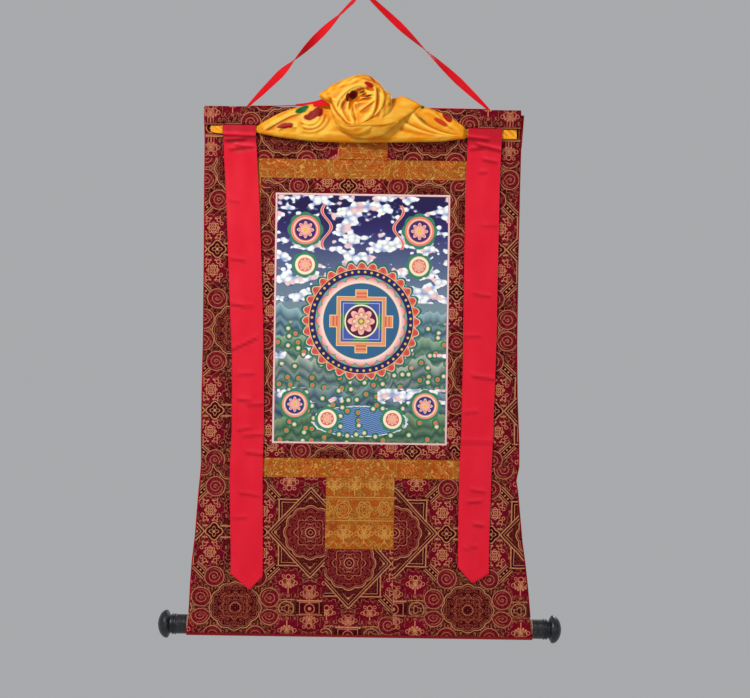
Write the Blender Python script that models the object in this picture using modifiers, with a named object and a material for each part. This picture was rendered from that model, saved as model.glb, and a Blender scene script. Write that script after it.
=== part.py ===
"""A painted hanging scroll with its brocade mount, as it hangs from one nail.

The cloth is pieced in one layer on a red lining. A flat batten fills the sleeve at the head, and a
round roller with turned end caps fills the pocket at the foot. A yellow silk cover is gathered up
and knotted into a rosette in front of the head, with two long red ribbons beside it.

Lengths are in metres. X runs to the right, Z is up, and the front faces -Y. The origin is the
place where the hanging tape bears on its nail. Y = 0 is the front face of the flat lining.
"""

import math
from bisect import bisect_right

import bmesh
import bpy
from mathutils import Vector

# Cloth, and how far sewn neighbours lie apart.
LINING_THICK = 0.0010
BROCADE_THICK = 0.0015
PATCH_THICK = 0.0012
RIBBON_THICK = 0.0010
SILK_THICK = 0.0014
TAPE_THICK = 0.0010
SEAM_GAP = 0.0003
LAYER_GAP = 0.0004

# The painting and the two frames of strips around it.
PICTURE_WIDTH = 0.300
PICTURE_HEIGHT = 0.430
PICTURE_TOP = -0.3465
PICTURE_MIDDLE = 0.005
INNER_STRIP = 0.0255
GOLD_STRIP = 0.033

# The centre column of the foot, with its gold door, and the small gold patch above the frames.
DOOR_MIDDLE = 0.0075
DOOR_WIDTH = 0.118
DOOR_HEIGHT = 0.1225
SIDE_SEAM = -0.8135
TOP_PATCH_MIDDLE = 0.004
TOP_PATCH_WIDTH = 0.0845
TOP_PATCH_HEIGHT = 0.043

# Head sleeve and batten.
SLEEVE_TOP = -0.200
SLEEVE_BOTTOM = -0.232
BATTEN_HEIGHT = 0.0265
BATTEN_THICK = 0.008
BATTEN_BEVEL = 0.003
BATTEN_BEHIND = -0.007
BATTEN_ENDS = (-0.2620, 0.2660)
LINING_TOP = -0.2075

# Foot pocket, roller and end caps.
ROLLER_AXIS = -1.0900
ROLLER_RADIUS = 0.0168
ROLLER_ENDS = (-0.2860, 0.3060)
TENON_RADIUS = 0.0125
TENON_LENGTH = 0.020
CAP_FIT = 0.0003
TURNED_SIDES = 28

# How far the lining stands out past the brocade at its side edges: height, margin on the right.
LINING_MARGIN = 0.0022
RIGHT_MARGINS = (
    (-0.204, 0.0065),
    (-0.262, 0.0030),
    (-0.266, LINING_MARGIN),
)

# The gentle swell of the hanging cloth, from side to side and down its length.
SWELL_DEPTH = 0.0020
SWELL_ACROSS = 0.47
SWELL_DOWN = 0.90
SWELL_FROM = -0.30
SWELL_TO = -1.04
SWELL_FADE = 0.10

TAPE_WIDTH = 0.013
NAIL_RADIUS = 0.003
TAPE_SEWN = (-0.022, -0.0167, -0.0113)

# height, left edge, right edge of the brocade
CLOTH_EDGES = (
    (-0.200, -0.2690, 0.2735),
    (-0.262, -0.2665, 0.2735),
    (-0.330, -0.2665, 0.2725),
    (-0.440, -0.2655, 0.2715),
    (-0.600, -0.2645, 0.2715),
    (-0.690, -0.2655, 0.2735),
    (-0.770, -0.2655, 0.2775),
    (-0.812, -0.2645, 0.2780),
    (-0.835, -0.2660, 0.2735),
    (-0.856, -0.2680, 0.2770),
    (-0.900, -0.2710, 0.2815),
    (-0.940, -0.2735, 0.2855),
    (-0.980, -0.2780, 0.2915),
    (-1.020, -0.2805, 0.2965),
    (-1.060, -0.2820, 0.3005),
    (-1.110, -0.2850, 0.3045),
)

# depth, height of the head's brocade at the middle of its thickness, from its end behind the batten
HEAD_SECTION = (
    (0.00210, -0.2215),
    (0.00210, -0.2070),
    (0.00080, -0.2022),
    (-0.00250, -0.20075),
    (-0.00850, -0.20075),
    (-0.01220, -0.2023),
    (-0.01350, -0.2065),
    (-0.01350, -0.2250),
    (-0.01230, -0.2298),
    (-0.00900, -0.23125),
    (-0.00420, -0.23125),
    (-0.00170, -0.2334),
    (-0.00105, -0.2375),
)

# degrees from straight up, positive to the back, and distance from the roller's axis
LINING_WRAP = (
    (2, 0.0208),
    (22, 0.0196),
    (48, 0.0195),
    (78, 0.0195),
    (107, 0.0194),
    (134, 0.0190),
    (158, 0.0186),
    (180, 0.0183),
    (202, 0.0181),
    (222, 0.0181),
    (238, 0.0182),
    (252, 0.0182),
)
FLAT_ABOVE_WRAP = 0.0055
LINING_STEPS = 21
FOOT_STEPS = 6
FOOT_COLUMNS_BESIDE = 2
FOOT_COLUMNS_UNDER = 3
BROCADE_WRAP = (
    (-3, 0.0218),
    (-17, 0.0203),
    (-41, 0.0203),
    (-66, 0.0205),
    (-90, 0.0206),
    (-108, 0.0205),
    (-123, 0.0204),
)

# height, middle, width, and distance in front of the lining
RIBBON_RUNS = {
    "ribbon_left": (
        (-0.2322, -0.2092, 0.0567, 0.0110),
        (-0.2520, -0.2082, 0.0567, 0.0110),
        (-0.2620, -0.2075, 0.0560, 0.0086),
        (-0.2720, -0.2068, 0.0565, 0.0082),
        (-0.3000, -0.2052, 0.0567, 0.0060),
        (-0.3430, -0.2025, 0.0567, 0.0052),
        (-0.4140, -0.1985, 0.0567, 0.0060),
        (-0.4840, -0.1952, 0.0567, 0.0052),
        (-0.5560, -0.1918, 0.0560, 0.0058),
        (-0.6280, -0.1887, 0.0550, 0.0050),
        (-0.6900, -0.1876, 0.0550, 0.0057),
        (-0.7520, -0.1869, 0.0552, 0.0052),
        (-0.8140, -0.1882, 0.0562, 0.0060),
        (-0.8760, -0.1876, 0.0562, 0.0052),
        (-0.9300, -0.1862, 0.0555, 0.0058),
        (-0.9790, -0.1853, 0.0552, 0.0054),
    ),
    "ribbon_right": (
        (-0.2322, 0.2129, 0.0584, 0.0110),
        (-0.2520, 0.2123, 0.0584, 0.0108),
        (-0.2650, 0.2118, 0.0580, 0.0084),
        (-0.2780, 0.2114, 0.0584, 0.0078),
        (-0.3060, 0.2107, 0.0580, 0.0056),
        (-0.3750, 0.2098, 0.0584, 0.0058),
        (-0.4570, 0.2093, 0.0584, 0.0050),
        (-0.5350, 0.2092, 0.0575, 0.0058),
        (-0.6120, 0.2090, 0.0567, 0.0051),
        (-0.6800, 0.2078, 0.0558, 0.0056),
        (-0.7490, 0.2068, 0.0550, 0.0051),
        (-0.8350, 0.2046, 0.0550, 0.0059),
        (-0.8860, 0.2040, 0.0545, 0.0052),
        (-0.9390, 0.2035, 0.0533, 0.0057),
    ),
}
# across from the ribbon's left edge, height of its cut end there
RIBBON_ENDS = {
    "ribbon_left": ((0, -1.0013), (0.59, -1.0300), (1, -1.0056)),
    "ribbon_right": ((0, -0.9853), (0.49, -1.0132), (1, -0.9965)),
}

# The silk cover is sewn by its hem under the sleeve, drops to a lower fold and comes up in front.
# place across, top of the front, lower fold, how far the front stands out, depth of its folds
SWAG_STATIONS = (
    (-0.2580, -0.2372, -0.2442, 0.0070, 0.0000),
    (-0.2480, -0.2345, -0.2460, 0.0075, 0.0006),
    (-0.2300, -0.2343, -0.2470, 0.0075, 0.0004),
    (-0.2050, -0.2343, -0.2460, 0.0075, 0.0004),
    (-0.1790, -0.2340, -0.2440, 0.0077, 0.0004),
    (-0.1745, -0.2334, -0.2459, 0.0140, 0.0010),
    (-0.1688, -0.2306, -0.2470, 0.0182, 0.0020),
    (-0.1549, -0.2224, -0.2495, 0.0186, 0.0034),
    (-0.1389, -0.2139, -0.2521, 0.0190, 0.0044),
    (-0.1220, -0.2076, -0.2542, 0.0196, 0.0054),
    (-0.1051, -0.2027, -0.2560, 0.0202, 0.0066),
    (-0.0892, -0.1987, -0.2575, 0.0208, 0.0074),
    (-0.0733, -0.1961, -0.2587, 0.0214, 0.0078),
    (-0.0534, -0.1946, -0.2592, 0.0218, 0.0070),
    (-0.0296, -0.1939, -0.2594, 0.0220, 0.0060),
    (0.0002, -0.1934, -0.2591, 0.0220, 0.0055),
    (0.0300, -0.1920, -0.2586, 0.0220, 0.0060),
    (0.0548, -0.1860, -0.2582, 0.0216, 0.0066),
    (0.0747, -0.1841, -0.2577, 0.0212, 0.0070),
    (0.0916, -0.1909, -0.2573, 0.0206, 0.0070),
    (0.1075, -0.1992, -0.2566, 0.0202, 0.0062),
    (0.1224, -0.2043, -0.2562, 0.0198, 0.0054),
    (0.1373, -0.2098, -0.2555, 0.0192, 0.0046),
    (0.1522, -0.2172, -0.2533, 0.0187, 0.0036),
    (0.1672, -0.2265, -0.2512, 0.0183, 0.0024),
    (0.1741, -0.2310, -0.2506, 0.0178, 0.0016),
    (0.1778, -0.2343, -0.2496, 0.0135, 0.0008),
    (0.1815, -0.2340, -0.2478, 0.0077, 0.0004),
    (0.2200, -0.2343, -0.2488, 0.0075, 0.0004),
    (0.2480, -0.2345, -0.2490, 0.0075, 0.0006),
    (0.2670, -0.2352, -0.2488, 0.0072, 0.0004),
)
HEM_DEPTH = -0.0048
HEM_HEIGHT = SLEEVE_BOTTOM - LAYER_GAP
SWAG_FOLDS = 2.5
SWAG_BACK_ROWS = 4
SWAG_FRONT_ROWS = 10
SWAG_TURN_HEIGHT = 0.0045
SWAG_TURN_SHARE = 0.35

# The rosette is the same silk wound round itself: its outline about a middle, and its depth.
ROSETTE_MIDDLE = (-0.0075, -0.2005)
ROSETTE_BACK = -0.0180
ROSETTE_FRONT = -0.0580
ROSETTE_TURNS = 2.3
ROSETTE_RIDGE = 0.0050
ROSETTE_SECTORS = 28
ROSETTE_RINGS = 18
# degrees counterclockwise from +X, distance from the middle
ROSETTE_OUTLINE = (
    (0, 0.0591),
    (20, 0.0611),
    (30, 0.0547),
    (63, 0.0552),
    (78, 0.0552),
    (104, 0.0502),
    (129, 0.0512),
    (155, 0.0601),
    (168, 0.0665),
    (180, 0.0630),
    (202, 0.0578),
    (226, 0.0528),
    (247, 0.0502),
    (280, 0.0522),
    (315, 0.0561),
    (340, 0.0571),
    (360, 0.0591),
)
# The hemmed end of the silk crosses the rosette's lower right: place, depth, height, width
HEM_BAND = (
    (0.0840, -0.0245, -0.1885, 0.026),
    (0.0720, -0.0330, -0.1975, 0.030),
    (0.0540, -0.0420, -0.2095, 0.033),
    (0.0320, -0.0500, -0.2215, 0.031),
    (0.0100, -0.0535, -0.2315, 0.027),
    (-0.0140, -0.0510, -0.2380, 0.024),
    (-0.0350, -0.0430, -0.2375, 0.023),
    (-0.0500, -0.0310, -0.2300, 0.022),
)
HEM_BAND_THICK = 0.003
HEM_BAND_CROWN = 0.004

# Where each leg of the hanging tape leaves the back of the sleeve: place across, height
TAPE_FOOT = {"left": (-0.1948, -0.1975), "right": (0.2197, -0.1985)}
# part of the way from the sleeve to the nail, turn of the flat tape in degrees, part of its width
LEFT_TWIST = (
    (0.00, -180, 0.40),
    (0.12, -180, 0.75),
    (0.27, -180, 1.00),
    (0.42, -90, 1.00),
    (0.64, 0, 1.00),
    (0.80, 70, 1.00),
    (0.92, 55, 1.00),
    (1.00, 90, 1.00),
)
RIGHT_TWIST = (
    (0.00, 0, 0.40),
    (0.12, 0, 0.75),
    (0.24, 0, 1.00),
    (0.54, 90, 1.00),
    (0.72, 150, 1.00),
    (0.93, 115, 1.00),
    (1.00, 90, 1.00),
)
LEG_STEPS = 30
TAPE_LEANS_BY = 0.125

# The tape's ends run along the sleeve to the knot: place, depth, height, turn, part of the width
TIE_ROUTE = (
    (-0.1900, -0.0055, -0.1988, 0, 0.50),
    (-0.1600, -0.0055, -0.1988, 0, 0.80),
    (-0.1350, -0.0055, -0.1976, 10, 0.90),
    (-0.1150, -0.0055, -0.1955, 30, 0.90),
    (-0.0950, -0.0060, -0.1932, 50, 0.90),
    (-0.0750, -0.0065, -0.1920, 60, 0.90),
    (-0.0550, -0.0065, -0.1915, 50, 0.90),
    (-0.0250, -0.0060, -0.1925, 20, 0.90),
    (0.0150, -0.0055, -0.1955, 0, 0.90),
    (0.0600, -0.0055, -0.1983, 0, 0.90),
    (0.1000, -0.0055, -0.1988, 0, 0.80),
    (0.1500, -0.0055, -0.1988, 0, 0.70),
    (0.2150, -0.0055, -0.1988, 0, 0.50),
)

# along from the cloth side of a cap, its radius
CAP_PROFILE = (
    (0.0000, 0.0165),
    (0.0180, 0.0165),
    (0.0188, 0.0177),
    (0.0206, 0.0177),
    (0.0214, 0.0164),
    (0.0224, 0.0164),
    (0.0232, 0.0177),
    (0.0250, 0.0177),
    (0.0258, 0.0160),
    (0.0287, 0.0157),
    (0.0305, 0.0190),
    (0.0328, 0.0232),
    (0.0355, 0.0240),
    (0.0387, 0.0231),
    (0.0423, 0.0207),
    (0.0457, 0.0165),
    (0.0483, 0.0106),
    (0.0496, 0.0054),
    (0.0500, 0.0000),
)

# red, green, blue, roughness, metallic
FINISHES = {
    "lining_red": (0.62, 0.02, 0.03, 0.75, 0),
    "brocade_maroon": (0.16, 0.03, 0.03, 0.65, 0),
    "brocade_gold": (0.52, 0.26, 0.06, 0.55, 0),
    "picture": (0.55, 0.42, 0.38, 0.70, 0),
    "ribbon_red": (0.72, 0.02, 0.05, 0.45, 0),
    "silk_yellow": (0.90, 0.50, 0.05, 0.35, 0),
    "tape_red": (0.72, 0.01, 0.02, 0.50, 0),
    "wood": (0.42, 0.26, 0.14, 0.60, 0),
    "dark_metal": (0.03, 0.03, 0.04, 0.35, 0.8),
}


def mix(a, b, t):
    return a + (b - a) * t


def look_up(rows, at):
    """The row at a place in a table sorted by its first column, rising or falling, mixed in between."""
    keys = [row[0] for row in rows]
    if keys[0] > keys[-1]:
        keys = [-key for key in keys]
        place = -at
    else:
        place = at
    i = min(max(bisect_right(keys, place), 1), len(rows) - 1)
    part = min(max((place - keys[i - 1]) / (keys[i] - keys[i - 1]), 0), 1)
    return [mix(a, b, part) for a, b in zip(rows[i - 1], rows[i])]


def smooth_row(rows, place):
    """The row at a place counted in rows, on a smooth curve through all of them."""
    i = min(int(place), len(rows) - 2)
    part = place - i
    before, here, there, after = (
        rows[min(max(k, 0), len(rows) - 1)] for k in range(i - 1, i + 3)
    )
    values = []
    for a, b, c, d in zip(before, here, there, after):
        bend = 2 * a - 5 * b + 4 * c - d
        twist = 3 * (b - c) + d - a
        values.append(b + 0.5 * part * (c - a + part * (bend + part * twist)))
    return values


def fade(distance):
    """From 0 at an end of the swell to 1 well inside it."""
    part = min(max(distance / SWELL_FADE, 0), 1)
    return part * part * (3 - 2 * part)


def swell(x, z):
    """How far behind Y = 0 the lining's front face lies."""
    ends = fade(SWELL_FROM - z) * fade(z - SWELL_TO)
    wave = math.sin(2 * math.pi * x / SWELL_ACROSS + 0.6)
    drift = 0.75 + 0.25 * math.sin(2 * math.pi * z / SWELL_DOWN)
    return SWELL_DEPTH * ends * wave * drift


def left_edge(z):
    return look_up(CLOTH_EDGES, z)[1]


def right_edge(z):
    return look_up(CLOTH_EDGES, z)[2]


def make_material(name):
    red, green, blue, roughness, metallic = FINISHES[name]
    material = bpy.data.materials.new(name)
    material.use_nodes = True
    shader = material.node_tree.nodes["Principled BSDF"]
    shader.inputs["Base Color"].default_value = (red, green, blue, 1)
    shader.inputs["Roughness"].default_value = roughness
    shader.inputs["Metallic"].default_value = metallic
    return material


def add_object(name, mesh, collection, material=None):
    obj = bpy.data.objects.new(name, mesh)
    collection.objects.link(obj)
    mesh.shade_smooth()
    if material:
        mesh.materials.append(material)
    return obj


def as_helper(obj):
    obj.hide_render = True
    obj.display_type = "WIRE"
    return obj


def grid_mesh(name, columns, rows, place):
    """A grid of quads, each point put where place(across, down) says, both from 0 to 1."""
    bm = bmesh.new()
    bmesh.ops.create_grid(bm, x_segments=columns, y_segments=rows, size=0.5)
    for vert in bm.verts:
        vert.co = place(vert.co.x + 0.5, 0.5 - vert.co.y)
    mesh = bpy.data.meshes.new(name)
    bm.to_mesh(mesh)
    bm.free()
    return mesh


def thicken(obj, thickness):
    solidify = obj.modifiers.new("thickness", "SOLIDIFY")
    solidify.thickness = thickness
    solidify.offset = 0
    return obj


class Scroll:
    """Holds the collections and the materials while the pieces are made."""

    def __init__(self):
        for obj in list(bpy.data.objects):
            bpy.data.objects.remove(obj, do_unlink=True)
        self.pieces = bpy.data.collections.new("thangka_scroll")
        self.helpers = bpy.data.collections.new("helpers")
        for collection in (self.pieces, self.helpers):
            bpy.context.scene.collection.children.link(collection)
        self.materials = {name: make_material(name) for name in FINISHES}

    def piece(self, name, mesh, finish):
        return add_object(name, mesh, self.pieces, self.materials[finish])

    def helper(self, name, mesh):
        return as_helper(add_object(name, mesh, self.helpers))

    def cloth(self, name, columns, rows, place, thickness, finish):
        mesh = grid_mesh(name, columns, rows, place)
        return thicken(self.piece(name, mesh, finish), thickness)


def inset(corners, distance):
    """A four-sided outline, clockwise from its top left, with each side moved in."""
    lines = []
    for i, (x, z) in enumerate(corners):
        next_x, next_z = corners[(i + 1) % 4]
        along = Vector((next_x - x, next_z - z)).normalized()
        inwards = Vector((along.y, -along.x))
        lines.append((Vector((x, z)) + inwards * distance, along))
    moved = []
    for i in range(4):
        (a, along_a), (b, along_b) = lines[i - 1], lines[i]
        step = (b - a).cross(along_b) / along_a.cross(along_b)
        moved.append(tuple(a + along_a * step))
    return moved


def flat_patch(corners, front):
    """place() for a flat piece between four corners, its middle a distance in front of the lining."""
    top_left, top_right, bottom_right, bottom_left = inset(corners, SEAM_GAP / 2)

    def place(across, down):
        x = mix(mix(top_left[0], top_right[0], across), mix(bottom_left[0], bottom_right[0], across), down)
        z = mix(mix(top_left[1], top_right[1], across), mix(bottom_left[1], bottom_right[1], across), down)
        return Vector((x, swell(x, z) - front, z))

    return place


BROCADE_FRONT = LAYER_GAP + BROCADE_THICK / 2
PATCH_FRONT = LAYER_GAP + BROCADE_THICK + LAYER_GAP + PATCH_THICK / 2

PICTURE_BOX = (
    PICTURE_MIDDLE - PICTURE_WIDTH / 2,
    PICTURE_TOP,
    PICTURE_MIDDLE + PICTURE_WIDTH / 2,
    PICTURE_TOP - PICTURE_HEIGHT,
)


def grown(box, by):
    left, top, right, bottom = box
    return left - by, top + by, right + by, bottom - by


INNER_BOX = grown(PICTURE_BOX, INNER_STRIP)
GOLD_BOX = grown(INNER_BOX, GOLD_STRIP)


def corners_of(box):
    left, top, right, bottom = box
    return [(left, top), (right, top), (right, bottom), (left, bottom)]


def make_picture(scroll):
    scroll.cloth(
        "picture",
        8,
        10,
        flat_patch(corners_of(PICTURE_BOX), BROCADE_FRONT),
        BROCADE_THICK,
        "picture",
    )


def make_frame(scroll, name, outer_box, inner_box, finish):
    """Four strips that meet in mitres."""
    outer = corners_of(outer_box)
    inner = corners_of(inner_box)
    strips = {
        "top": (outer[0], outer[1], inner[1], inner[0]),
        "right": (inner[1], outer[1], outer[2], inner[2]),
        "bottom": (inner[3], inner[2], outer[2], outer[3]),
        "left": (outer[0], inner[0], inner[3], outer[3]),
    }
    for side, corners in strips.items():
        columns, rows = (8, 1) if side in ("top", "bottom") else (1, 10)
        place = flat_patch(corners, BROCADE_FRONT)
        scroll.cloth(f"{name}_{side}", columns, rows, place, BROCADE_THICK, finish)


def make_side_panels(scroll):
    """The two long strips beside the gold frame, whose outer edges follow the cloth's edge."""
    top = GOLD_BOX[1] - SEAM_GAP / 2
    bottom = SIDE_SEAM + SEAM_GAP / 2
    sides = {
        "side_left": (left_edge, lambda z: GOLD_BOX[0] - SEAM_GAP / 2),
        "side_right": (lambda z: GOLD_BOX[2] + SEAM_GAP / 2, right_edge),
    }
    for name, (left_of, right_of) in sides.items():

        def place(across, down, left_of=left_of, right_of=right_of):
            z = mix(top, bottom, down)
            x = mix(left_of(z), right_of(z), across)
            return Vector((x, swell(x, z) - BROCADE_FRONT, z))

        scroll.cloth(name, 2, 14, place, BROCADE_THICK, "brocade_maroon")


def straight_run(depth, top, bottom, steps):
    return [(depth, mix(top, bottom, i / steps)) for i in range(steps)]


def wrap_points(wrap):
    """Depth and height of each row of a table of degrees and distances about the roller."""
    points = []
    for degrees, distance in wrap:
        turn = math.radians(degrees)
        points.append((distance * math.sin(turn), ROLLER_AXIS + distance * math.cos(turn)))
    return points


def section_place(section, left_of, right_of):
    """place() for cloth whose rows follow a section of (depth, height) points."""
    rows = len(section) - 1

    def place(across, down):
        depth, z = section[round(down * rows)]
        x = mix(left_of(z), right_of(z), across)
        return Vector((x, swell(x, z) + depth, z))

    return place


def make_lining(scroll):
    top_of_wrap = ROLLER_AXIS + LINING_WRAP[0][1] + FLAT_ABOVE_WRAP
    section = straight_run(LINING_THICK / 2, LINING_TOP, top_of_wrap, LINING_STEPS)
    section.append((LINING_THICK / 2, top_of_wrap))
    section += wrap_points(LINING_WRAP)

    def lining_right(z):
        return right_edge(z) + look_up(RIGHT_MARGINS, z)[1]

    place = section_place(section, lambda z: left_edge(z) - LINING_MARGIN, lining_right)
    scroll.cloth("lining", 10, len(section) - 1, place, LINING_THICK, "lining_red")


def make_head(scroll):
    """The head's brocade: it starts behind the batten, wraps it and runs down to the gold frame."""
    bottom = GOLD_BOX[1] + SEAM_GAP / 2
    rows = len(HEAD_SECTION)
    section = [smooth_row(HEAD_SECTION, i / 2) for i in range(2 * rows - 1)]
    section += straight_run(-BROCADE_FRONT, HEAD_SECTION[-1][1], bottom, 3)[1:]
    section.append((-BROCADE_FRONT, bottom))
    place = section_place(section, left_edge, right_edge)
    scroll.cloth("head", 8, len(section) - 1, place, BROCADE_THICK, "brocade_maroon")


def foot_wrap():
    """The foot's brocade from just above the roller, as (depth, height) points."""
    top = ROLLER_AXIS + BROCADE_WRAP[0][1] + FLAT_ABOVE_WRAP
    return [(-BROCADE_FRONT, top)] + wrap_points(BROCADE_WRAP)


def make_foot_side(scroll, name, side, seam):
    """An outer piece of the foot: beside the gold frame it starts higher than under it."""
    corner = GOLD_BOX[0] if side < 0 else GOLD_BOX[2]
    outer_of = left_edge if side < 0 else right_edge
    beside = corner + side * 2 * SEAM_GAP
    under = corner + side * SEAM_GAP / 2
    wrap = foot_wrap()
    rows = FOOT_STEPS + len(wrap) - 1
    columns = FOOT_COLUMNS_BESIDE + FOOT_COLUMNS_UNDER + 1

    def place(across, down):
        column = round(columns * (across if side < 0 else 1 - across))
        row = round(down * rows)
        is_beside = column <= FOOT_COLUMNS_BESIDE
        top = (SIDE_SEAM if is_beside else GOLD_BOX[3]) - SEAM_GAP / 2
        if row < FOOT_STEPS:
            depth, z = -BROCADE_FRONT, mix(top, wrap[0][1], row / FOOT_STEPS)
        else:
            depth, z = wrap[row - FOOT_STEPS]
        if is_beside:
            x = mix(outer_of(z), beside, column / FOOT_COLUMNS_BESIDE)
        else:
            x = mix(under, seam, (column - FOOT_COLUMNS_BESIDE - 1) / FOOT_COLUMNS_UNDER)
        return Vector((x, swell(x, z) + depth, z))

    scroll.cloth(name, columns, rows, place, BROCADE_THICK, "brocade_maroon")


def make_foot(scroll):
    """The foot's brocade in three columns over the roller, the middle one with its gold door."""
    seam_left = DOOR_MIDDLE - DOOR_WIDTH / 2
    seam_right = DOOR_MIDDLE + DOOR_WIDTH / 2
    door_bottom = GOLD_BOX[3] - DOOR_HEIGHT
    make_foot_side(scroll, "foot_left", -1, seam_left - SEAM_GAP / 2)
    make_foot_side(scroll, "foot_right", 1, seam_right + SEAM_GAP / 2)
    wrap = foot_wrap()
    section = straight_run(-BROCADE_FRONT, door_bottom - SEAM_GAP / 2, wrap[0][1], 3) + wrap
    place = section_place(
        section,
        lambda z: seam_left + SEAM_GAP / 2,
        lambda z: seam_right - SEAM_GAP / 2,
    )
    scroll.cloth("foot_middle", 3, len(section) - 1, place, BROCADE_THICK, "brocade_maroon")
    door = corners_of((seam_left, GOLD_BOX[3], seam_right, door_bottom))
    scroll.cloth("door", 3, 3, flat_patch(door, BROCADE_FRONT), BROCADE_THICK, "brocade_gold")


def make_top_patch(scroll):
    half = TOP_PATCH_WIDTH / 2
    bottom = GOLD_BOX[1] + SEAM_GAP
    box = (TOP_PATCH_MIDDLE - half, bottom + TOP_PATCH_HEIGHT, TOP_PATCH_MIDDLE + half, bottom)
    place = flat_patch(corners_of(box), PATCH_FRONT)
    scroll.cloth("top_patch", 2, 2, place, PATCH_THICK, "brocade_gold")


def make_batten(scroll):
    left, right = BATTEN_ENDS
    top = SLEEVE_TOP - BROCADE_THICK - LAYER_GAP
    bm = bmesh.new()
    bmesh.ops.create_cube(bm, size=1)
    bmesh.ops.scale(bm, vec=(right - left, BATTEN_THICK, BATTEN_HEIGHT), verts=bm.verts)
    mesh = bpy.data.meshes.new("batten")
    bm.to_mesh(mesh)
    bm.free()
    batten = scroll.piece("batten", mesh, "wood")
    batten.location = ((left + right) / 2, BATTEN_BEHIND, top - BATTEN_HEIGHT / 2)
    bevel = batten.modifiers.new("edges", "BEVEL")
    bevel.width = BATTEN_BEVEL
    bevel.segments = 2
    bevel.limit_method = "ANGLE"
    mesh.set_sharp_from_angle(angle=math.radians(40))


def turned(scroll, name, profile, finish):
    """A body turned about the roller's axis, from a closed run of (along, radius) points."""
    bm = bmesh.new()
    verts = [bm.verts.new((radius, 0, along)) for along, radius in profile]
    for a, b in zip(verts, verts[1:]):
        bm.edges.new((a, b))
    mesh = bpy.data.meshes.new(name)
    bm.to_mesh(mesh)
    bm.free()
    obj = scroll.piece(name, mesh, finish)
    screw = obj.modifiers.new("turning", "SCREW")
    screw.steps = TURNED_SIDES
    screw.render_steps = TURNED_SIDES
    screw.use_merge_vertices = True
    screw.merge_threshold = 0.0001
    obj.rotation_euler = (0, math.radians(90), 0)
    obj.location = (0, 0, ROLLER_AXIS)
    return obj


def make_roller(scroll):
    left, right = ROLLER_ENDS
    profile = (
        (right + TENON_LENGTH, 0),
        (right + TENON_LENGTH, TENON_RADIUS),
        (right, TENON_RADIUS),
        (right, ROLLER_RADIUS),
        (left, ROLLER_RADIUS),
        (left, TENON_RADIUS),
        (left - TENON_LENGTH, TENON_RADIUS),
        (left - TENON_LENGTH, 0),
    )
    turned(scroll, "roller", profile, "wood")


def make_caps(scroll):
    """The turned caps, each a sleeve over the roller's tenon with a domed end."""
    bore = TENON_RADIUS + CAP_FIT
    floor = TENON_LENGTH + CAP_FIT
    socket = ((floor, 0), (floor, bore), (CAP_FIT, bore))
    outside = tuple((CAP_FIT + along, radius) for along, radius in CAP_PROFILE)
    right = tuple((ROLLER_ENDS[1] + along, radius) for along, radius in socket + outside)
    left = tuple((ROLLER_ENDS[0] - along, radius) for along, radius in socket + outside)
    turned(scroll, "cap_right", right[::-1], "dark_metal")
    turned(scroll, "cap_left", left, "dark_metal")


def make_ribbon(scroll, name):
    """A long satin ribbon, cut to a point, that hangs clear of the brocade."""
    runs = RIBBON_RUNS[name]
    ends = RIBBON_ENDS[name]
    steps = 2 * (len(runs) - 1)

    def place(across, down):
        row = min(down * (steps + 2), steps) / 2
        z, middle, width, front = smooth_row(runs, row)
        if down * (steps + 2) > steps:
            part = down * (steps + 2) - steps
            z = mix(z, look_up(ends, across)[1], part / 2)
        x = middle + width * (across - 0.5)
        return Vector((x, swell(x, z) - front, z))

    scroll.cloth(name, 4, steps + 2, place, RIBBON_THICK, "ribbon_red")


def swag_point(across, down):
    """The silk from its hem (down = 0) round the lower fold and up the front to its top edge."""
    x, top, fold, front, relief = SWAG_STATIONS[round(across * (len(SWAG_STATIONS) - 1))]
    row = down * (SWAG_BACK_ROWS + SWAG_FRONT_ROWS)
    turn_height = min(SWAG_TURN_HEIGHT, (HEM_HEIGHT - fold) * SWAG_TURN_SHARE)
    if row < 1.5:
        return Vector((x, HEM_DEPTH, mix(HEM_HEIGHT, fold + turn_height, row)))
    if row < SWAG_BACK_ROWS + 0.5:
        turn = math.pi * (row - 1) / (SWAG_BACK_ROWS - 1)
        middle = (HEM_DEPTH - front) / 2
        reach = (front + HEM_DEPTH) / 2
        return Vector((x, middle + reach * math.cos(turn), fold + turn_height * (1 - math.sin(turn))))
    part = (row - SWAG_BACK_ROWS) / SWAG_FRONT_ROWS
    z = mix(fold + turn_height, top, part)
    wave = math.sin(math.pi * SWAG_FOLDS * part)
    return Vector((x, -front - relief * wave * wave * min(1, 4 * part), z))


def swag_mesh(name):
    return grid_mesh(name, len(SWAG_STATIONS) - 1, SWAG_BACK_ROWS + SWAG_FRONT_ROWS, swag_point)


def rosette_mesh(name):
    """A ball flattened to the rosette's outline, with the ridge of its winding on the front."""
    bm = bmesh.new()
    bmesh.ops.create_uvsphere(
        bm, u_segments=ROSETTE_SECTORS, v_segments=ROSETTE_RINGS, radius=1
    )
    middle_x, middle_z = ROSETTE_MIDDLE
    for vert in bm.verts:
        turn = math.atan2(vert.co.y, vert.co.x)
        out = min(math.hypot(vert.co.x, vert.co.y), 1)
        forward = vert.co.z
        reach = look_up(ROSETTE_OUTLINE, math.degrees(turn) % 360)[1]
        depth = mix(ROSETTE_BACK, ROSETTE_FRONT, 0.5 + 0.5 * forward)
        if forward > 0:
            winding = math.cos(2 * math.pi * ROSETTE_TURNS * out + turn)
            depth -= ROSETTE_RIDGE * winding * min(1, 3 * out) * min(1, 2 * forward)
        x = middle_x + reach * out * math.cos(turn)
        vert.co = (x, depth, middle_z + reach * out * math.sin(turn))
    bmesh.ops.recalc_face_normals(bm, faces=bm.faces)
    mesh = bpy.data.meshes.new(name)
    bm.to_mesh(mesh)
    bm.free()
    return mesh


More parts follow.
